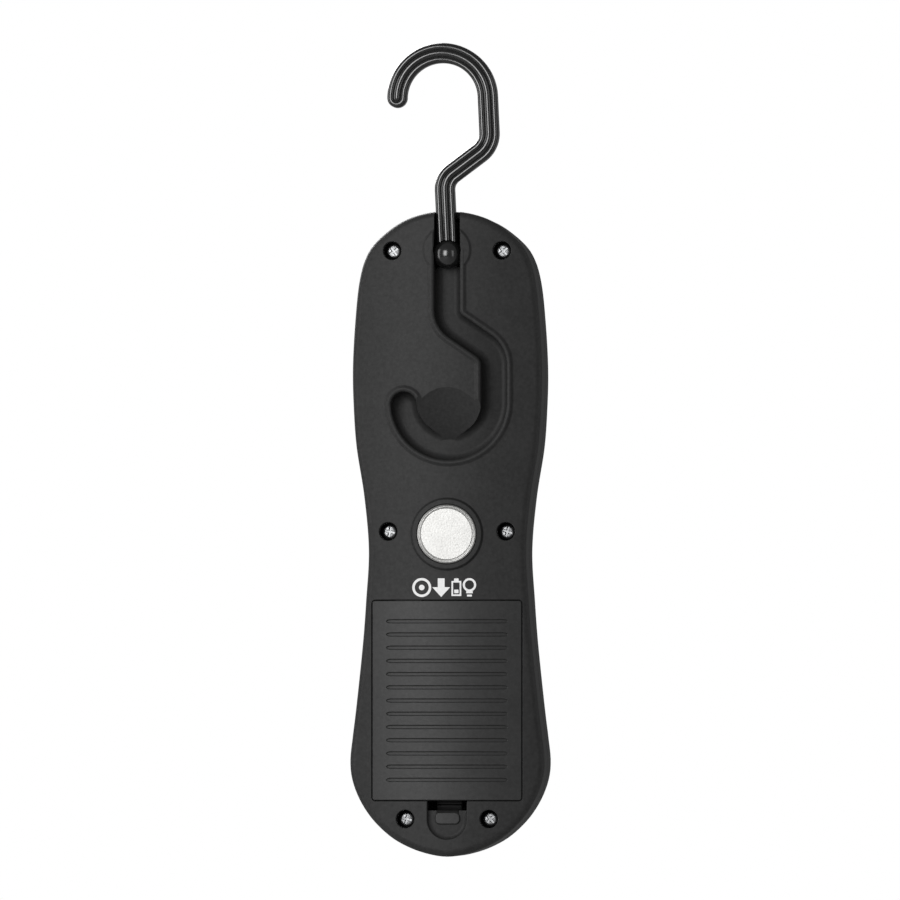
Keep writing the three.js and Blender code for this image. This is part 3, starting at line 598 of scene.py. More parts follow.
bay_wall = box(-BAY_SIDE - 1.5, BAY_SIDE + 1.5, BACK + 1, BAY_FLOOR + 1.5, BAY_LOW - 1.5, BAY_HIGH + 1.5)
carve(bay_wall, [("INTERSECT", stack("inside", body_outline, [(-WALL + 0.1, 0), (-WALL + 0.1, 30)]))])
ring = stack("lip", body_outline, lip)
under_channel = [(0, BACK + 1), (0, CHANNEL_FLOOR + 1.6)]
carve(ring, [cut(stack("lip_hollow", body_outline, [(-WALL - 1.3, 11), (-WALL - 1.3, PARTING + 2)]))])
carve(rear, [cut(stack("hollow", body_outline, hollow))])
steps = [
    add(ring),
    add(stack("rim", folded(0, rim_side), rim)),
    add(stack("trough", folded(-8.6, CHANNEL_HALF_WIDTH + 1.5), under_channel)),
    add(slide(under_channel, 0, (SCOOP_TOP + SCOOP_END) / 2, 10.5)),
    add(stack("ears", disc(0, PIVOT_Z, EAR_RADIUS, 96), ear)),
    add(box(-9.2, 9.2, BACK + 1, 12.4, PIVOT_Z - 7.6, PIVOT_Z + 7.6)),
    add(stack("magnet_boss", disc(0, 0, MAGNET_BOSS_RADIUS, 128), boss)),
    add(slide([(0, BACK + 1), (0, 6.4)], 0, 0, MAGNET_RADIUS + 3.4)),
    add(stack("latch_bowl", latch_scoop, [(1.5, BACK + 1), (1.5, LATCH_SCOOP_FLOOR + 1.8)])),
    add(bay_wall),
]
for x, z in SCREW_PLACES:
    steps.append(add(slide([(0, BACK + 1), (0, SCREW_BOSS_END)], x, z, WELL_RADIUS + 1.4)))
carve(rear, steps)

# The fingertip scoop is a round groove that slopes down from the face to the channel's floor.
slope = Vector((0, CHANNEL_FLOOR - BACK, SCOOP_END - SCOOP_TOP)).normalized()
scoop_axis = Vector((0, BACK, SCOOP_TOP)) - SCOOP_RADIUS * Vector((0, -slope.z, slope.y))
finger_scoop = stack("finger_scoop", disc(0, 0, SCOOP_RADIUS, 240), [(0, t) for t in range(-16, 24)])
lean = slope.to_track_quat("Y", "Z").to_matrix().to_4x4()
finger_scoop.data.transform(Matrix.Translation(scoop_axis * MM) @ lean)
inside = disc(CROWN_SIDE, PIVOT_Z - CROWN_DISTANCE, CROWN_RADIUS + 0.6, 96)
carve(finger_scoop, [("INTERSECT", stack("inside", inside, [(0, -2), (0, CHANNEL_FLOOR)]))])

steps = [
    cut(finger_scoop),
    cut(stack("channel", folded(-16, CHANNEL_HALF_WIDTH), channel)),
    cut(cross_pin(*BALL_POCKET)),
    cut(cross_pin(*BALL_TROUGH)),
    cut(leaned(cross_pin(*PIN_HOLE), PIN_SLOPE)),
    cut(slide(magnet_hole, 0, 0, MAGNET_RADIUS + MAGNET_GAP)),
    cut(slide([(0, BACK + WALL), (0, 8)], 0, 0, MAGNET_RADIUS + 2)),
    cut(box(-BAY_SIDE, BAY_SIDE, 0, BAY_FLOOR, BAY_LOW, BAY_HIGH)),
    cut(stack("door_place", door_place, seam)),
    cut(stack("latch_scoop", latch_scoop, scoop)),
    cut(box(-LATCH_SCOOP_RADIUS, LATCH_SCOOP_RADIUS, 0, SLOT_FRONT, SLOT_LOW, DOOR_LOW + 0.5, 0.3)),
    cut(box(-3.45, 3.45, 0, 4.5, -88.2, DOOR_LOW + 0.5, 0.8)),
    cut(box(-4.4, 4.4, 3.9, SLOT_FRONT, -89, DOOR_LOW + 0.5, 0.6)),
]
for x in (-TAB_X, TAB_X):
    half = TAB_HALF_WIDTH + 0.6
    steps.append(cut(box(x - half, x + half, BACK + 2, 6, BAY_HIGH - 1, DOOR_HIGH + 2.4)))
for node in ("wire_positive", "wire_negative"):
    x = middle(node)[0]
    level = BAY_HIGH if node == "wire_positive" else BAY_LOW
    steps.append(cut(rod(WIRE_HOLE_RADIUS, (x, 14.6, level - 3), (x, 14.6, level + 3))))
for x, z in SCREW_PLACES:
    steps.append(cut(slide(well, x, z, WELL_RADIUS)))
    steps.append(cut(slide([(0, 0), (0, 14)], x, z, PILOT_RADIUS)))
    steps.append(cut(slide([(0, SCREW_BOSS_END), (0, PARTING + 3)], x, z, POST_RADIUS + 0.6)))
carve(rear, steps)


def smooth(part, angle=30):
    """Shades a part smooth with sharp creases, and keeps its flat faces flat."""
    mesh = part.data
    mesh.polygons.foreach_set("use_smooth", [True] * len(mesh.polygons))
    mesh.set_sharp_from_angle(angle=math.radians(angle))
    weighted = part.modifiers.new("flat faces", "WEIGHTED_NORMAL")
    weighted.keep_sharp = True
    weighted.weight = 50
    return part


smooth(rear, 20)

# How far the shading turns outwards for each metre from the middle, as on a slightly crowned face.
CROWN = 11.5


def textured_black(name, level, roughness, specular):
    """Black ABS with a spark-eroded texture: fine grain and a faint unevenness of tone."""
    made = Finish(name, {"Specular IOR Level": specular})
    cloud = made.noise(90, 3)
    mottle = made.noise(1000, 3)
    grain = made.noise(2300, 2)
    made.feed(
        made.shader,
        {
            "Base Color": made.mix(cloud * 0.3 + mottle * 0.7, grey(level * 0.45), grey(level * 1.6)),
            "Roughness": roughness + (grain - 0.5) * 0.18 + (cloud - 0.5) * 0.05,
        },
    )
    across = made.node("SeparateXYZ", None, {0: made.place}, "X")
    facing = made.node("NewGeometry", None, None, "Normal")
    lean = made.node("CombineXYZ", None, {"X": across * CROWN})
    crowned = made.node("VectorMath", {"operation": "ADD"}, {0: facing, 1: lean})
    crowned = made.node("VectorMath", {"operation": "NORMALIZE"}, {0: crowned})
    made.bump(grain + made.noise(5200, 1) * 0.5, 0.35, 0.00003, crowned)
    return made


def wear(part, finish, body, slot, *nodes):
    """Gives a part its finish, hangs it on its body and lets it stand for CAD nodes. The slot argument is
    not used.
    """
    part.data.materials.clear()
    part.data.materials.append(finish.material)
    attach(part, body)
    if nodes:
        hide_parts(*nodes)
    return part


housing_black = textured_black("housing black", 0.028, 0.52, 0.19)
wear(rear, housing_black, "housing", "housing_black", "rear_housing")


# --- Printed marks ------------------------------------------------------------------------------
# Four plain signs in white pad print between the magnet and the door: a dotted ring, an arrow
# towards the door, a cell and a lamp. The ink stands a hair above the face.

INK_FACE = BACK - 0.06
INK_BACK = BACK + 0.2
MARK_MIDDLE = -16.3


def ink(outline, grow=0):
    """A thin patch of ink."""
    return stack("ink", outline, [(grow, INK_BACK), (grow, INK_FACE)])


def polygon(corners):
    """The outline of a plain figure, the same at every level."""

    def outline(grow):
        return corners

    return outline


def bar(x, z, width, height):
    """The outline of a bar with tiny corner rounds, about its middle."""
    return plate(x - width / 2, x + width / 2, z - height / 2, z + height / 2, 0.12, 3)


def hole(outline):
    """A cut through the ink."""
    return cut(stack("hole", outline, [(0, BACK - 1), (0, BACK + 1)]))


z = MARK_MIDDLE
x = -7.7
ring_mark = ink(disc(x, z, 2.9))
carve(ring_mark, [hole(disc(x, z, 2.15)), add(ink(disc(x, z, 0.85)))])
x = -1.75
arrow_mark = ink(bar(x, z + 1.1, 2.1, 3.4))
carve(arrow_mark, [add(ink(polygon([(x, z - 2.9), (x + 2.75, z + 0.1), (x - 2.75, z + 0.1)])))])
x = 2.9
cell_mark = ink(bar(x, z - 0.3, 3.0, 4.6))
top = ink(bar(x, z + 2.35, 1.4, 0.8))
charge = ink(bar(x, z - 1.2, 1.3, 1.1))
carve(cell_mark, [hole(bar(x, z - 0.3, 2.0, 3.6)), add(top), add(charge)])
x = 6.9
lamp_mark = ink(disc(x, z + 0.8, 2.05))
neck = ink(bar(x, z - 1.45, 2.0, 0.65))
cap = ink(bar(x, z - 2.45, 1.5, 0.6))
carve(lamp_mark, [hole(disc(x, z + 0.8, 1.4)), add(neck), add(cap)])
white_ink = Finish("white ink", {"Roughness": 0.55, "Specular IOR Level": 0.3})
patchy = white_ink.noise(1500, 3)
white_ink.feed(white_ink.shader, {"Base Color": white_ink.mix(patchy, grey(0.85), grey(1.0))})
for name, mark in (("ring", ring_mark), ("arrow", arrow_mark), ("cell", cell_mark), ("lamp", lamp_mark)):
    mark.name = "printed_" + name + "_mark"
    wear(mark, white_ink, "housing", "housing_black")


# --- Hook and its ball --------------------------------------------------------------------------
# The hook is one gloss black moulded rod with a ridge down the middle and a rail along each edge
# of both faces. Its peg turns in a ball, and the ball's two pins tip between the ears.

HOOK_BALL_RADIUS = 4.6
BALL_DROP = 1.25
BALL_Z = PIVOT_Z - BALL_DROP
RIDGE = (0, 1.3, 1.3)  # the middle ridge: its centre's distance from the middle and height, its radius
RAIL = (1.95, 1.25, 1.1)


def bead(side, height, radius, first, last, steps):
    """Points round a ridge of the hook's section, between two angles from its crest."""
    turns = [math.radians(first + (last - first) * i / steps) for i in range(steps + 1)]
    return [(side + radius * math.sin(t), height + radius * math.cos(t)) for t in turns]


half_section = bead(*RIDGE, 0, 58.6, 7) + bead(*RAIL, -49.8, 90, 16)[1:] + [(3.05, 0.6), (3.05, 0)]
face = [(w, -h) for w, h in half_section]
around = face + [(w, h) for w, h in half_section[-2::-1]]
shape = bmesh.new()


def hook_point(side, distance, turn, width, depth):
    """A vertex beside a point of the centreline, at a width along a direction and a depth."""
    x = side + width * math.cos(turn)
    z = PIVOT_Z + distance + width * math.sin(turn)
    return shape.verts.new((x * MM, (PIVOT_Y + depth) * MM, z * MM))


rings = []
line = hook_line(3.4, 0.7)
for side, distance, heading in line:
    left = [hook_point(side, distance, heading + math.pi / 2, w, d) for w, d in around[1:-1]]
    right = [hook_point(side, distance, heading - math.pi / 2, w, d) for w, d in around[1:-1]]
    front = hook_point(side, distance, heading, 0, around[0][1])
    back = hook_point(side, distance, heading, 0, around[-1][1])
    rings.append((front, left, back, right))


def join(first, second):
    """Faces between two rows of vertices of the same length."""
    for a, b, c, d in zip(first, first[1:], second[1:], second):
        shape.faces.new((a, b, c, d))


for (front, left, back, right), (front2, left2, back2, right2) in zip(rings, rings[1:]):
    join([front, *left, back], [front2, *left2, back2])
    join([front, *right, back], [front2, *right2, back2])

# The foot is hollowed to sit over the ball.
SEAT_RADIUS = HOOK_BALL_RADIUS + 0.3


def seated(vertex, share):
    """Moves a copy of a foot vertex towards the axis and onto the hollow over the ball."""
    x = vertex.co.x / MM * share
    y = (vertex.co.y / MM - PIVOT_Y) * share
    z = math.sqrt(SEAT_RADIUS**2 - x * x - y * y)
    return (x * MM, (PIVOT_Y + y) * MM, (BALL_Z + z) * MM)


front, left, back, right = rings[0]
outer = [front, *left, back, *right[::-1]]
for vertex in outer:
    vertex.co = seated(vertex, 1)
for share in (0.75, 0.5, 0.25):
    inner = [shape.verts.new(seated(vertex, share)) for vertex in [front, *left, back, *right[::-1]]]
    join([*outer, outer[0]], [*inner, inner[0]])
    outer = inner
shape.faces.new(outer)

# The rails run on round the tip in half a turn, and the middle ridge dies away inside them.
TIP_STEPS = 24
front, left, back, right = rings[-1]
side, distance, heading = line[-1]
sweep = [left]
for i in range(1, TIP_STEPS):
    turn = heading + math.pi / 2 - math.pi * i / TIP_STEPS
    sweep.append([hook_point(side, distance, turn, w, d) for w, d in around[1:-1]])
sweep.append(right)
for first, second in zip(sweep, sweep[1:]):
    join(first, second)
    shape.faces.new((front, first[0], second[0]))
    shape.faces.new((back, second[-1], first[-1]))
hook = solid("hook_rod", shape)
hook.data.shade_smooth()
hook.data.set_sharp_from_angle(angle=math.radians(60))
leaned(hook, 2 * PIN_SLOPE)


def stem(radius, low, high):
    """A round bar along the hook's stem, between two heights from the ball's centre."""
    return leaned(rod(radius, (0, PIVOT_Y, BALL_Z + low), (0, PIVOT_Y, BALL_Z + high)), 2 * PIN_SLOPE)


peg = stem(1.5, -2.9, SEAT_RADIUS + 1)
peg.name = "hook_peg"
carve(peg, [add(stem(1.9, -2.3, -0.9))])
smooth(peg)

gloss_black = Finish("gloss black", {"Specular IOR Level": 0.7, "Coat Weight": 0.3, "Coat Roughness": 0.1})
swirl = gloss_black.noise(160, 1)
scuffs = gloss_black.noise(900, 2, (1, 1, 0.15))
gloss_black.feed(
    gloss_black.shader,
    {
        "Base Color": gloss_black.mix(swirl, grey(0.004), grey(0.008)),
        "Roughness": 0.15 + scuffs * 0.06,
    },
)
gloss_black.bump(swirl, 0.1, 0.00003)
wear(hook, gloss_black, "hook", "hook_black", "hook")
wear(peg, gloss_black, "hook", "hook_black")

def ball(radius, x, y, z, turns=64):
    """A smooth ball, in millimetres."""
    shape = bmesh.new()
    bmesh.ops.create_uvsphere(shape, u_segments=turns, v_segments=turns // 2, radius=radius * MM)
    bmesh.ops.translate(shape, verts=shape.verts, vec=Vector((x, y, z)) * MM)
    return solid("ball", shape)


pivot_ball = leaned(ball(HOOK_BALL_RADIUS, 0, PIVOT_Y, BALL_Z, 80), 2 * PIN_SLOPE)
pivot_ball.name = "pivot_ball"
carve(
    pivot_ball,
    [add(leaned(cross_pin(1.5, 6.2), PIN_SLOPE)), cut(stem(1.8, -3.2, 6)), cut(stem(2.4, -2.6, -0.6))],
)
smooth(pivot_ball, 40)
satin_black = Finish("satin black", {"Specular IOR Level": 0.8})
worn = satin_black.noise(420, 2)
satin_black.tint(worn, grey(0.005), grey(0.012), 0.16, 0.06)
satin_black.bump(worn, 0.1, 0.00002)
wear(pivot_ball, satin_black, "hook_ball", "hook_black", "hook_ball")


# --- Magnet -------------------------------------------------------------------------------------
# A nickel-plated disc magnet, pressed into the boss from inside and held by a moulded ring. Its
# face is satin, and the turned edge carries fine rings.

MAGNET_FACE = span("magnet")[2]

magnet_profile = [(-9, 3.2), (0, 3.2), (0, 0.5), (-0.08, 0.3), (-0.3, 0.26), (-0.42, 0.14), (-0.55, 0.2)]
magnet_profile += [(-0.7, 0.2), (-0.8, 0.05), (-1.0, 0.09), (-1.08, 0.14), (-1.2, 0.02), (-1.35, 0)]
magnet_levels = [(grow if grow > -9 else -8.9, MAGNET_FACE + y) for grow, y in magnet_profile]
magnet = stack("magnet_disc", disc(0, 0, MAGNET_RADIUS, 160), magnet_levels)
smooth(magnet, 60)
nickel = Finish("satin nickel", {"Metallic": 1.0})
flecks = nickel.noise(1900, 3)
bloom = nickel.noise(260, 3)
nickel.feed(
    nickel.shader,
    {
        "Base Color": nickel.mix(flecks, (0.26, 0.26, 0.25, 1), (0.72, 0.715, 0.7, 1)),
        "Roughness": 0.30 + flecks * 0.16 + bloom * 0.1,
    },
)
nickel.bump(flecks, 0.5, 0.00005)
wear(magnet, nickel, "housing", "magnet_nickel", "magnet")

left, right, back, front, low, high = span("magnet_retainer")
retainer_radius = (right - left) / 2
retainer_levels = [(-0.3, back), (0, back + 0.3), (0, front - 0.3), (-0.3, front)]
retainer = stack("magnet_holder", disc(0, 0, retainer_radius, 72), retainer_levels)
carve(retainer, [cut(slide([(0, 0), (0, 9)], 0, 0, 3))])
smooth(retainer)
inner_black = textured_black("inner black", 0.024, 0.45, 0.3)
wear(retainer, inner_black, "housing", "housing_black", "magnet_retainer")


# --- Battery door and its latch -----------------------------------------------------------------
# The door is moulded in the same black ABS, a little glossier, with thirteen finger-grip grooves.
# Two tabs hold its top edge, and a U-shaped spring tongue with a finger pad latches its lower one.

GROOVES = 13
GROOVE_PITCH = 4.03
FIRST_GROOVE = -26.6
GROOVE_HALF_LENGTH = 18.55
GROOVE_HALF_WIDTH = 0.56
GROOVE_END = 1.4


def slit(z, count=12):
    """The outline of a groove across the door, with long rounded ends."""

    def outline(grow):
        points = []
        for side in (1, -1):
            for i in range(count + 1):
                turn = math.pi * (i / count - 0.5)
                across = GROOVE_HALF_LENGTH - GROOVE_END + (GROOVE_END + grow) * math.cos(turn)
                points.append((side * across, z + side * (GROOVE_HALF_WIDTH + grow) * math.sin(turn)))
        return points

    return outline


door_edge = [(0, DOOR_FACE + 2), (0, DOOR_FACE + 0.3)]
door_edge += quarter(door_edge[-1], (-0.3, DOOR_FACE), "depth", 4)
door = stack("battery_cover", plate(DOOR_LEFT, DOOR_RIGHT, DOOR_LOW, DOOR_HIGH, 0.8), door_edge)
groove = [(0.16, DOOR_FACE - 1), (0.16, DOOR_FACE)]
groove += quarter(groove[-1], (0, DOOR_FACE + 0.14), "across", 3)
groove += quarter(groove[-1], (-0.26, DOOR_FACE + 0.5), "depth", 5)
steps = []
for i in range(GROOVES):
    steps.append(cut(stack("groove", slit(FIRST_GROOVE - i * GROOVE_PITCH), groove)))
for x in (-TAB_X, TAB_X):
    left = x - TAB_HALF_WIDTH
    right = x + TAB_HALF_WIDTH
    steps.append(add(box(left, right, DOOR_FACE + 1, 5, DOOR_HIGH - 0.9, DOOR_HIGH - 0.1)))
    steps.append(add(box(left, right, DOOR_FACE + 2.3, 5, DOOR_HIGH - 0.9, DOOR_HIGH + 1.5, 0.3)))
for x in (-15, 0, 15):
    steps.append(add(box(x - 0.5, x + 0.5, DOOR_FACE + 1.5, DOOR_FACE + 2.25, DOOR_LOW + 6, DOOR_HIGH - 4)))
carve(door, steps)
smooth(door)
door_black = textured_black("door black", 0.026, 0.46, 0.34)
wear(door, door_black, "door", "door_black", "battery_door")


def strip(name, profile, left, right, round_edge=0.15):
    """A strip across the light from a profile of (y, height) corners, with its edges rounded."""
    shape = bmesh.new()
    ends = []
    for x in (left, right):
        ends.append([shape.verts.new((x * MM, y * MM, z * MM)) for y, z in profile])
        shape.faces.new(ends[-1])
    for i in range(len(profile)):
        shape.faces.new((ends[0][i - 1], ends[0][i], ends[1][i], ends[1][i - 1]))
    made = solid(name, shape)
    bevel = made.modifiers.new("edges", "BEVEL")
    bevel.width = round_edge * MM
    bevel.segments = 3
    bevel.limit_method = "ANGLE"
    bevel.angle_limit = math.radians(35)
    return made


def arc(y, z, radius, first, last, count=16):
    """Corners round an arc, from one angle to another."""
    turns = [first + (last - first) * i / count for i in range(count + 1)]
    return [(y + radius * math.cos(a), z + radius * math.sin(a)) for a in turns]


LATCH_SIDE = span("battery_door_latch")[1]
HINGE_Z = round(JOINTS["door_latch_press"]["pos_m"][2] / MM, 1)
BEND_RADIUS = 2.2
BEND_Y = 11.4 - BEND_RADIUS
LEG_HALF = 0.5
BEND_CUT = 0.07
DOWN = -math.pi / 2
UP = math.pi / 2
PAD_TOP = -84.9
PAD_BOTTOM = -88.5
PAD_FACE = span("battery_door_latch")[2]

leg = DOOR_FACE + 2.2
profile = [(leg, HINGE_Z + BEND_RADIUS + LEG_HALF)]
profile += arc(BEND_Y, HINGE_Z, BEND_RADIUS + LEG_HALF, UP, BEND_CUT)
profile += arc(BEND_Y, HINGE_Z, BEND_RADIUS - LEG_HALF, BEND_CUT, UP)
profile.append((leg, HINGE_Z + BEND_RADIUS - LEG_HALF))
spring = strip("cover_latch_bend", profile, -LATCH_SIDE, LATCH_SIDE)
smooth(spring)
wear(spring, door_black, "door", "door_black", "latch_spring")

leg_top = HINGE_Z - BEND_RADIUS + LEG_HALF
profile = arc(BEND_Y, HINGE_Z, BEND_RADIUS + LEG_HALF, -BEND_CUT, DOWN)
profile += [(6.9, leg_top - 1), (6.9, leg_top)]
profile += arc(BEND_Y, HINGE_Z, BEND_RADIUS - LEG_HALF, DOWN, -BEND_CUT)
tongue = strip("cover_latch", profile, -LATCH_SIDE, LATCH_SIDE, 0.12)
catch = [(7.2, leg_top - 0.98), (5.9, PAD_BOTTOM + 0.1), (4.1, PAD_BOTTOM + 0.1), (3.1, PAD_BOTTOM + 0.5)]
catch += [(3.1, PAD_TOP - 0.1), (4.1, leg_top - 0.02), (7.2, leg_top - 0.02)]
pad_edge = [(0, 3.25), (0, PAD_FACE + 0.4)]
pad_edge += quarter(pad_edge[-1], (-0.4, PAD_FACE), "depth")
pad = stack("pad", plate(-LATCH_SIDE, LATCH_SIDE, PAD_BOTTOM, PAD_TOP, 1.4), pad_edge)
carve(tongue, [add(strip("catch", catch, -3.3, 3.3)), add(pad)])
smooth(tongue)
wear(tongue, door_black, "door_latch", "door_black", "battery_door_latch")


# --- Cells, springs and contact plates ----------------------------------------------------------
# Three AA cells in printed sleeves lie side by side in the bay, joined in series by nickel-plated
# plates, with a conical steel spring pressing on each flat end.

CELL_RADIUS = 7.25
CELL_PROFILE = (
    # radius, distance from the flat end
    (4.6, 0.25), (5.0, 0), (6.3, 0), (6.5, 0.25), (6.75, 0.3), (7.1, 0.42), (7.25, 0.75), (7.25, 47.9),
    (7.1, 48.4), (6.7, 48.75), (6.2, 48.8), (6.0, 48.95), (3.4, 49.15), (2.75, 49.3), (2.75, 50.2),
    (2.55, 50.45), (2.2, 50.5),
)


def cell_finish(name, flat_end, way):
    """A cell's finish: a blue sleeve with a pale band, bare metal at both ends."""
    made = Finish(name, {})
    split = made.node("SeparateXYZ", None, {0: made.place}, "Z")
    along = (split - flat_end) * way
    metal = (along < 0.0005) + (along > 0.0483)
    band = (along > 0.034) * (along < 0.0365) + (along > 0.0375) * (along < 0.0383)
    sleeve = made.mix(made.noise(600, 2), (0.020, 0.055, 0.13, 1), (0.026, 0.070, 0.16, 1))
    sleeve = made.mix(band, sleeve, (0.62, 0.64, 0.66, 1))
    grain = made.noise(2400, 2)
    made.feed(
        made.shader,
        {
            "Base Color": made.mix(metal, sleeve, made.mix(grain, grey(0.62), grey(0.74))),
            "Metallic": metal,
            "Roughness": 0.26 + grain * 0.12,
        },
    )
    made.bump(grain, 0.15, 0.00002)
    return made


steel = Finish("spring steel", {"Metallic": 1.0})
drawn = steel.noise(3000, 2, (1, 1, 0.2))
steel.tint(drawn, grey(0.5), grey(0.66), 0.22, 0.2)
SPRING_TURNS = 3.75
SPRING_WIRE = 0.4
SPRING_POINTS = 120
SPRING_FOOT = 4.6
SPRING_TAPER = 1.6
for i in (1, 2, 3):
    x, y, _ = middle(f"battery_cell_{i}")
    low, high = span(f"battery_cell_{i}")[4:]
    way = 1 if i != 2 else -1
    flat_end = low if way == 1 else high
    levels = [(radius - CELL_RADIUS, along) for radius, along in CELL_PROFILE]
    cell = stack(f"aa_cell_{i}", disc(0, 0, CELL_RADIUS, 72), levels)
    cell.data.transform(Matrix.Rotation(math.pi / 2 * way, 4, "X"))
    cell.data.transform(Matrix.Translation(Vector((x, y, flat_end)) * MM))
    smooth(cell)
    sleeve = cell_finish(f"cell sleeve {i}", flat_end * MM, way)
    wear(cell, sleeve, "housing", "cell_sleeve", f"battery_cell_{i}")

    low, high = span(f"contact_spring_{i}")[4:]
    base = low + SPRING_WIRE if way == 1 else high - SPRING_WIRE
    length = high - low - 2 * SPRING_WIRE
    curve = bpy.data.curves.new(f"cell_spring_{i}", "CURVE")
    curve.dimensions = "3D"
    curve.bevel_depth = SPRING_WIRE * MM
    curve.bevel_resolution = 3
    curve.use_fill_caps = True
    coil = curve.splines.new("POLY")
    coil.points.add(SPRING_POINTS)
    for k, point in enumerate(coil.points):
        along = k / SPRING_POINTS
        turn = 2 * math.pi * SPRING_TURNS * along
        radius = SPRING_FOOT - SPRING_TAPER * along
        rise = base + way * length * max(0, min(1, (along - 0.1) / 0.8))
        point.co = (
            (x + radius * math.cos(turn)) * MM,
            (y + radius * math.sin(turn)) * MM,
            rise * MM,
            1,
        )
    coil.use_smooth = True
    spring = bpy.data.objects.new(f"cell_spring_{i}", curve)
    scene.collection.objects.link(spring)
    wear(spring, steel, "housing", "spring_steel", f"contact_spring_{i}")


def upright_plate(name, node, corner, thickness_round=0.08):
    """A thin plate lying across the bay's end, with rounded corners and softened edges."""
    left, right, back, front, low, high = span(node)
    edge = [(-thickness_round, low), (0, low + thickness_round)]
    edge += [(0, high - thickness_round), (-thickness_round, high)]
    made = stack(name, plate(left, right, -front, -back, corner), edge)
    made.data.transform(Matrix.Rotation(math.pi / 2, 4, "X"))
    return made


plated = Finish("plated contact", {"Metallic": 1.0})
brushed = plated.noise(900, 3, (0.1, 1, 1))
plated.tint(brushed, (0.60, 0.59, 0.55, 1), (0.76, 0.75, 0.71, 1), 0.2, 0.2)
for place in ("top_single", "top_double", "bottom_double", "bottom_single"):
    contact = upright_plate("bay_contact_" + place, "contact_plate_" + place, 1.5)
    smooth(contact)
    wear(contact, plated, "housing", "contact_nickel", "contact_plate_" + place)


# --- Wires --------------------------------------------------------------------------------------
# Two stranded wires in PVC sleeves, red and black, run from the bay's contacts to the LED board.


def sleeve_finish(name, dark, light):
    """Slightly mottled PVC between two tones."""
    made = Finish(name, {"Specular IOR Level": 0.4})
    spots = made.noise(1400, 2)
    made.tint(spots, dark, light, 0.42, 0.12)
    return made


red_sleeve = sleeve_finish("red sleeve", (0.32, 0.012, 0.010, 1), (0.42, 0.020, 0.015, 1))
black_sleeve = sleeve_finish("black sleeve", grey(0.008), grey(0.014))


def paint(node, finish):
    """Gives a CAD node that keeps its own shape its finish."""
    part = frame["nodes"][node]
    part.data.materials.clear()
    part.data.materials.append(finish.material)
    part.data.polygons.foreach_set("material_index", [0] * len(part.data.polygons))


paint("wire_positive", red_sleeve)
paint("wire_negative", black_sleeve)


# --- LED board ----------------------------------------------------------------------------------
# A glass-fibre board under green solder mask carries the LEDs and the switch. Two screws hold it
# on the front housing's posts.

TRACK_PITCH = 0.0019
TRACK_GAP = 0.0009

mask_green = Finish("solder mask", {"Specular IOR Level": 0.5})
cloth = mask_green.noise(700, 2)
across = mask_green.node("SeparateXYZ", None, {0: mask_green.place}, "X")
tracks = mask_green.node("Math", {"operation": "PINGPONG"}, {0: across, 1: TRACK_PITCH})
copper = tracks > TRACK_GAP
green = mask_green.mix(copper, (0.008, 0.075, 0.025, 1), (0.016, 0.13, 0.045, 1))
mask_green.feed(
    mask_green.shader,
    {
        "Base Color": mask_green.mix(cloth * 0.25, green, (0.05, 0.2, 0.08, 1)),
        "Roughness": 0.3 + cloth * 0.12,
    },
)
mask_green.bump(copper, 0.3, 0.00004)
paint("led_board", mask_green)


# --- LEDs and reflector -------------------------------------------------------------------------
# Each LED is a 5 mm clear epoxy dome over a silvery cup with a yellow phosphor. One vacuum
# metallised tray puts a bright cone round every dome.

LED_RADIUS = 2.5
LED_PROFILE = [(-1.2, 0), (0.4, 0), (0.4, 0.9), (0.3, 1.0), (0, 1.05), (0, 5.6)]
LED_PROFILE += quarter((0, 5.6), (-2.45, 8.1), "depth", 10)
CUP_PROFILE = [(-1.9, 1.2), (-1.1, 1.2), (-0.75, 2.9), (-0.85, 2.9), (-1.6, 2.0), (-1.75, 2.0)]
PHOSPHOR_PROFILE = [(-1.62, 2.06), (-1.3, 2.4)] + quarter((-1.3, 2.4), (-2.4, 2.7), "depth", 4)
epoxy = Finish("clear epoxy", {"IOR": 1.5})
haze = epoxy.noise(900, 2)
epoxy.feed(
    epoxy.shader,
    {
        "Base Color": epoxy.mix(haze, (0.86, 0.90, 0.92, 1), (0.95, 0.97, 0.98, 1)),
        "Roughness": 0.05 + haze * 0.05,
        "Alpha": 0.32 + haze * 0.06,
    },
)
phosphor = Finish("phosphor", {"Specular IOR Level": 0.3})
grit = phosphor.noise(3500, 2)
phosphor.tint(grit, (0.85, 0.62, 0.06, 1), (0.95, 0.78, 0.16, 1), 0.6, 0.2)
chrome = Finish("metallised plastic", {"Metallic": 1.0})
film = chrome.noise(300, 2)
chrome.tint(film, grey(0.74), grey(0.84), 0.10, 0.08)
chrome.bump(film, 0.1, 0.0001)


def raised(profile, base):
    """A profile's levels, moved up to stand on a base."""
    return [(grow, base + depth) for grow, depth in profile]


LEDS = [f"led_{i:02d}" for i in range(1, 25)]
for led in LEDS:
    x, _, z = middle(led)
    base = span(led)[2]
    dome = stack("dome_" + led, disc(x, z, LED_RADIUS, 40), raised(LED_PROFILE, base))
    smooth(dome)
    wear(dome, epoxy, "housing", "led_clear", led)
    metal = stack("cup_" + led, disc(x, z, LED_RADIUS, 28), raised(CUP_PROFILE, base))
    smooth(metal)
    wear(metal, chrome, "housing", "reflector_bright")
    glow = stack("phosphor_" + led, disc(x, z, LED_RADIUS, 28), raised(PHOSPHOR_PROFILE, base))
    smooth(glow)
    wear(glow, phosphor, "housing", "led_clear")


WINDOW_HALF_WIDTH = 19.5
WINDOW_CORNER = 12
WINDOW_TOP_CENTRE = 68.5
WINDOW_LOW_CENTRE = 26


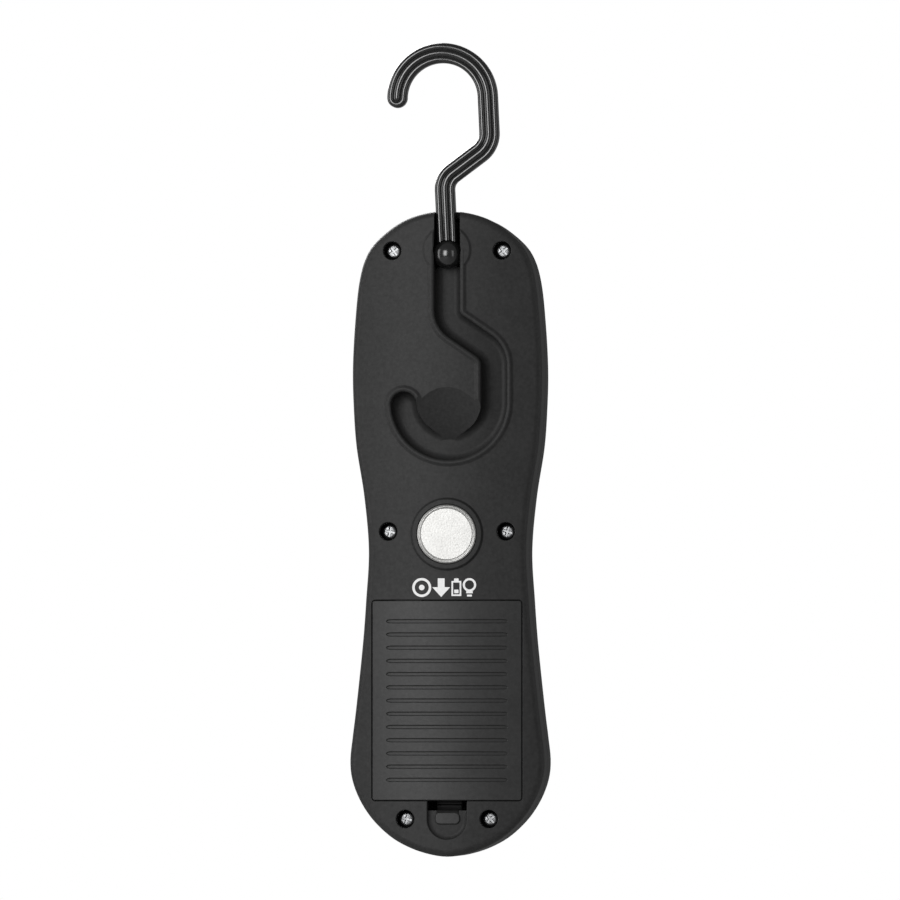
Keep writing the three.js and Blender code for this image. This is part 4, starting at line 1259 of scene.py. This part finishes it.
def window(grow, count=48):
    """The window's outline: a half circle at the top, straight sides, rounded lower corners."""
    half = WINDOW_HALF_WIDTH + grow
    corner = WINDOW_CORNER + grow
    points = []
    for x, z, radius, first, last in (
        (0, WINDOW_TOP_CENTRE, half, 0, math.pi),
        (-half + corner, WINDOW_LOW_CENTRE, corner, math.pi, 1.5 * math.pi),
        (half - corner, WINDOW_LOW_CENTRE, corner, 1.5 * math.pi, 2 * math.pi),
    ):
        steps = count if radius == half else count // 2
        for i in range(steps + 1):
            turn = first + (last - first) * i / steps
            points.append((x + radius * math.cos(turn), z + radius * math.sin(turn)))
    return points


_, _, back, front, _, _ = span("reflector")
tray_edge = [(-0.9, back), (-0.6, back + 0.3), (-0.6, front - 0.3)]
tray_edge += quarter(tray_edge[-1], (-0.9, front), "depth", 4)
tray = stack("reflector_tray", window, tray_edge)
cone = [(0.3, back - 1), (0.3, back + 0.5), (0.62, back + 1.6), (0.98, back + 2.7), (1.3, front - 0.2)]
cone += [(1.5, front), (1.5, front + 1)]
carve(tray, [cut(stack("cone", disc(*middle(led)[::2], LED_RADIUS, 48), cone)) for led in LEDS])
smooth(tray)
wear(tray, chrome, "housing", "reflector_bright", "reflector")


# --- Window -------------------------------------------------------------------------------------
# A clear polycarbonate pane in a step of the front housing, flanged so that it can't fall out.

_, _, back, front, _, _ = span("lens")
pane_edge = [(1.2, back), (1.2, back + 0.9), (-0.3, back + 0.9), (-0.3, front - 0.4)]
pane_edge += quarter(pane_edge[-1], (-0.7, front), "depth", 5)
pane = stack("window_pane", window, pane_edge)
smooth(pane)
clear = Finish("clear polycarbonate", {"IOR": 1.58, "Base Color": (1, 1, 1, 1)})
film = clear.noise(500, 2)
clear.feed(clear.shader, {"Roughness": 0.03 + film * 0.03, "Alpha": 0.10 + film * 0.03})
wear(pane, clear, "housing", "window_clear", "lens")


# --- Switch -------------------------------------------------------------------------------------
# A sealed push switch stands on the board, and the rubber button over it pushes its plunger.

switch_grey = Finish("switch plastic", {"Specular IOR Level": 0.45})
matt = switch_grey.noise(1800, 2)
switch_grey.tint(matt, grey(0.035), grey(0.055), 0.38, 0.12)
switch_grey.bump(matt, 0.2, 0.00002)
paint("switch_body", switch_grey)
paint("switch_plunger", switch_grey)


# --- Power button -------------------------------------------------------------------------------
# A soft black rubber cap with a shallow dish on top, and the usual open ring and bar raised in it.

x, _, z = middle("power_button")
_, _, back, front, _, _ = span("power_button")
BUTTON_RADIUS = 6.5
FLANGE_FRONT = 27.7
SIGN_RADIUS = 2.9
SIGN_HOLE = 2.3
SIGN_GAP = 0.75

cap = [(1.5, back), (1.5, FLANGE_FRONT), (0, FLANGE_FRONT), (0, front - 0.9)]
cap += quarter(cap[-1], (-0.9, front), "depth")
cap += [(-1.3, front - 0.02), (-2.0, front - 0.18), (-3.2, front - 0.34), (-6.3, front - 0.42)]
button = stack("button_cap", disc(x, z, BUTTON_RADIUS, 96), cap)
sign_levels = [(0, front - 0.8), (0, front - 0.2), (-0.1, front - 0.1)]
sign = stack("sign", disc(x, z, SIGN_RADIUS), sign_levels)
carve(
    sign,
    [
        cut(stack("hole", disc(x, z, SIGN_HOLE), [(0, 20), (0, 40)])),
        cut(box(x - SIGN_GAP, x + SIGN_GAP, 20, 40, z, z + 4)),
        add(stack("bar", bar(x, z + 1.5, 0.6, 3.0), sign_levels)),
    ],
)
carve(button, [add(sign)])
smooth(button)
rubber = Finish("soft rubber", {"Specular IOR Level": 0.3, "Sheen Weight": 0.15})
dust = rubber.noise(2600, 3)
rubber.tint(dust, grey(0.010), grey(0.018), 0.62, 0.16)
rubber.bump(dust, 0.3, 0.00003)
wear(button, rubber, "power_button", "button_rubber", "power_button")


# --- Front housing ------------------------------------------------------------------------------
# The front half of the body, moulded like the rear one. It frames the window with a soft bevel,
# and its posts take the housing screws and the board screws.

FRONT = span("front_housing")[3]
BOARD_POST_RADIUS = 2.6
BOARD_POST_TOP = 18.3
BOARD_PILOT_RADIUS = 1.2

edge = [(-0.25, PARTING + 0.15), (0, PARTING + 0.4), (0, FRONT - EDGE_ROUND)]
shell = stack("front_shell", body_outline, edge + quarter(edge[-1], (-EDGE_ROUND, FRONT), "depth", 8))
hollow = [(-WALL, PARTING - 1), (-WALL, FRONT - WALL - 1)]
hollow += quarter(hollow[-1], (-WALL - 1, FRONT - WALL), "depth")
opening = [(0, FRONT - 5), (0, FRONT - 0.7)] + quarter((0, FRONT - 0.7), (0.9, FRONT), "depth", 5)
opening += [(0.9, FRONT + 1)]
button_edge = [(0.3, 20), (0.3, FRONT - 0.5)] + quarter((0.3, FRONT - 0.5), (0.9, FRONT), "depth", 4)
button_edge += [(0.9, FRONT + 1)]
steps = [cut(stack("hollow", body_outline, hollow))]
board_posts = [middle(screw)[::2] for screw in ("board_screw_1", "board_screw_2")]
for spot in SCREW_PLACES:
    steps.append(add(slide([(0, SCREW_BOSS_END + 0.3), (0, FRONT - 1)], *spot, POST_RADIUS)))
for spot in board_posts:
    steps.append(add(slide([(0, BOARD_POST_TOP), (0, FRONT - 1)], *spot, BOARD_POST_RADIUS)))
steps.append(cut(stack("opening", window, opening)))
steps.append(cut(stack("pane_place", window, [(1.5, 20), (1.5, FRONT - WALL)])))
steps.append(cut(stack("button_hole", disc(x, z, BUTTON_RADIUS, 96), button_edge)))
for spot in SCREW_PLACES:
    steps.append(cut(slide([(0, 10), (0, 25)], *spot, PILOT_RADIUS)))
for spot in board_posts:
    steps.append(cut(slide([(0, 10), (0, 25)], *spot, BOARD_PILOT_RADIUS)))
carve(shell, steps)
smooth(shell)
wear(shell, housing_black, "housing", "housing_black", "front_housing")


# --- Screws -------------------------------------------------------------------------------------
# Pan-head self-tapping screws in bright zinc with a cross recess: six down the wells into the
# front housing's posts, and two smaller ones through the board.

THREAD_PITCH = 0.9
THREAD_RISE = 0.3
THREAD_DEPTH = 0.25

zinc = Finish("bright zinc", {"Metallic": 1.0})
stain = zinc.noise(1600, 3)
zinc.tint(stain, (0.20, 0.205, 0.21, 1), (0.46, 0.465, 0.47, 1), 0.2, 0.25)
zinc.bump(stain, 0.3, 0.00005)


def cross_screw(name, node, shank):
    """A pan-head screw with its thread and cross recess, turned a little from its neighbours."""
    x, _, z = middle(node)
    left, right, top, end, _, _ = span(node)
    radius = (right - left) / 2
    seat = top + radius * 0.71
    levels = [(-radius * 0.85, top), (-radius * 0.45, top + 0.05)]
    levels += quarter(levels[-1], (0, top + radius * 0.36), "across")
    levels += [(0, seat), (shank - radius, seat)]
    y = seat + 0.8
    while y < end - 1.8:
        levels += [
            (shank - radius, y),
            (shank + THREAD_DEPTH - radius, y + THREAD_RISE),
            (shank - radius, y + 2 * THREAD_RISE),
        ]
        y += THREAD_PITCH
    levels += [(shank - radius, end - 1.5), (0.15 - radius, end)]
    made = stack(name, disc(x, z, radius, 40), levels)
    arm = radius * 0.66
    half = radius * 0.16
    recess = [(0.12, top - 1), (0.12, top), (0, top + 0.1), (-0.1, top + 0.95)]
    steps = [
        cut(stack("arm", plate(x - arm, x + arm, z - half, z + half, 0.1, 3), recess)),
        cut(stack("arm", plate(x - half, x + half, z - arm, z + arm, 0.1, 3), recess)),
    ]
    carve(made, steps)
    turn = Matrix.Rotation(0.7 * x + 0.31 * z, 4, "Y")
    centre = Matrix.Translation(Vector((x, 0, z)) * MM)
    made.data.transform(centre @ turn @ centre.inverted())
    return smooth(made)


for i, node in enumerate(SCREWS, 1):
    wear(cross_screw(f"body_screw_{i}", node, 1.25), zinc, "housing", "screw_zinc", node)
for i, node in enumerate(("board_screw_1", "board_screw_2"), 1):
    wear(cross_screw(f"small_screw_{i}", node, 0.9), zinc, "housing", "screw_zinc", node)
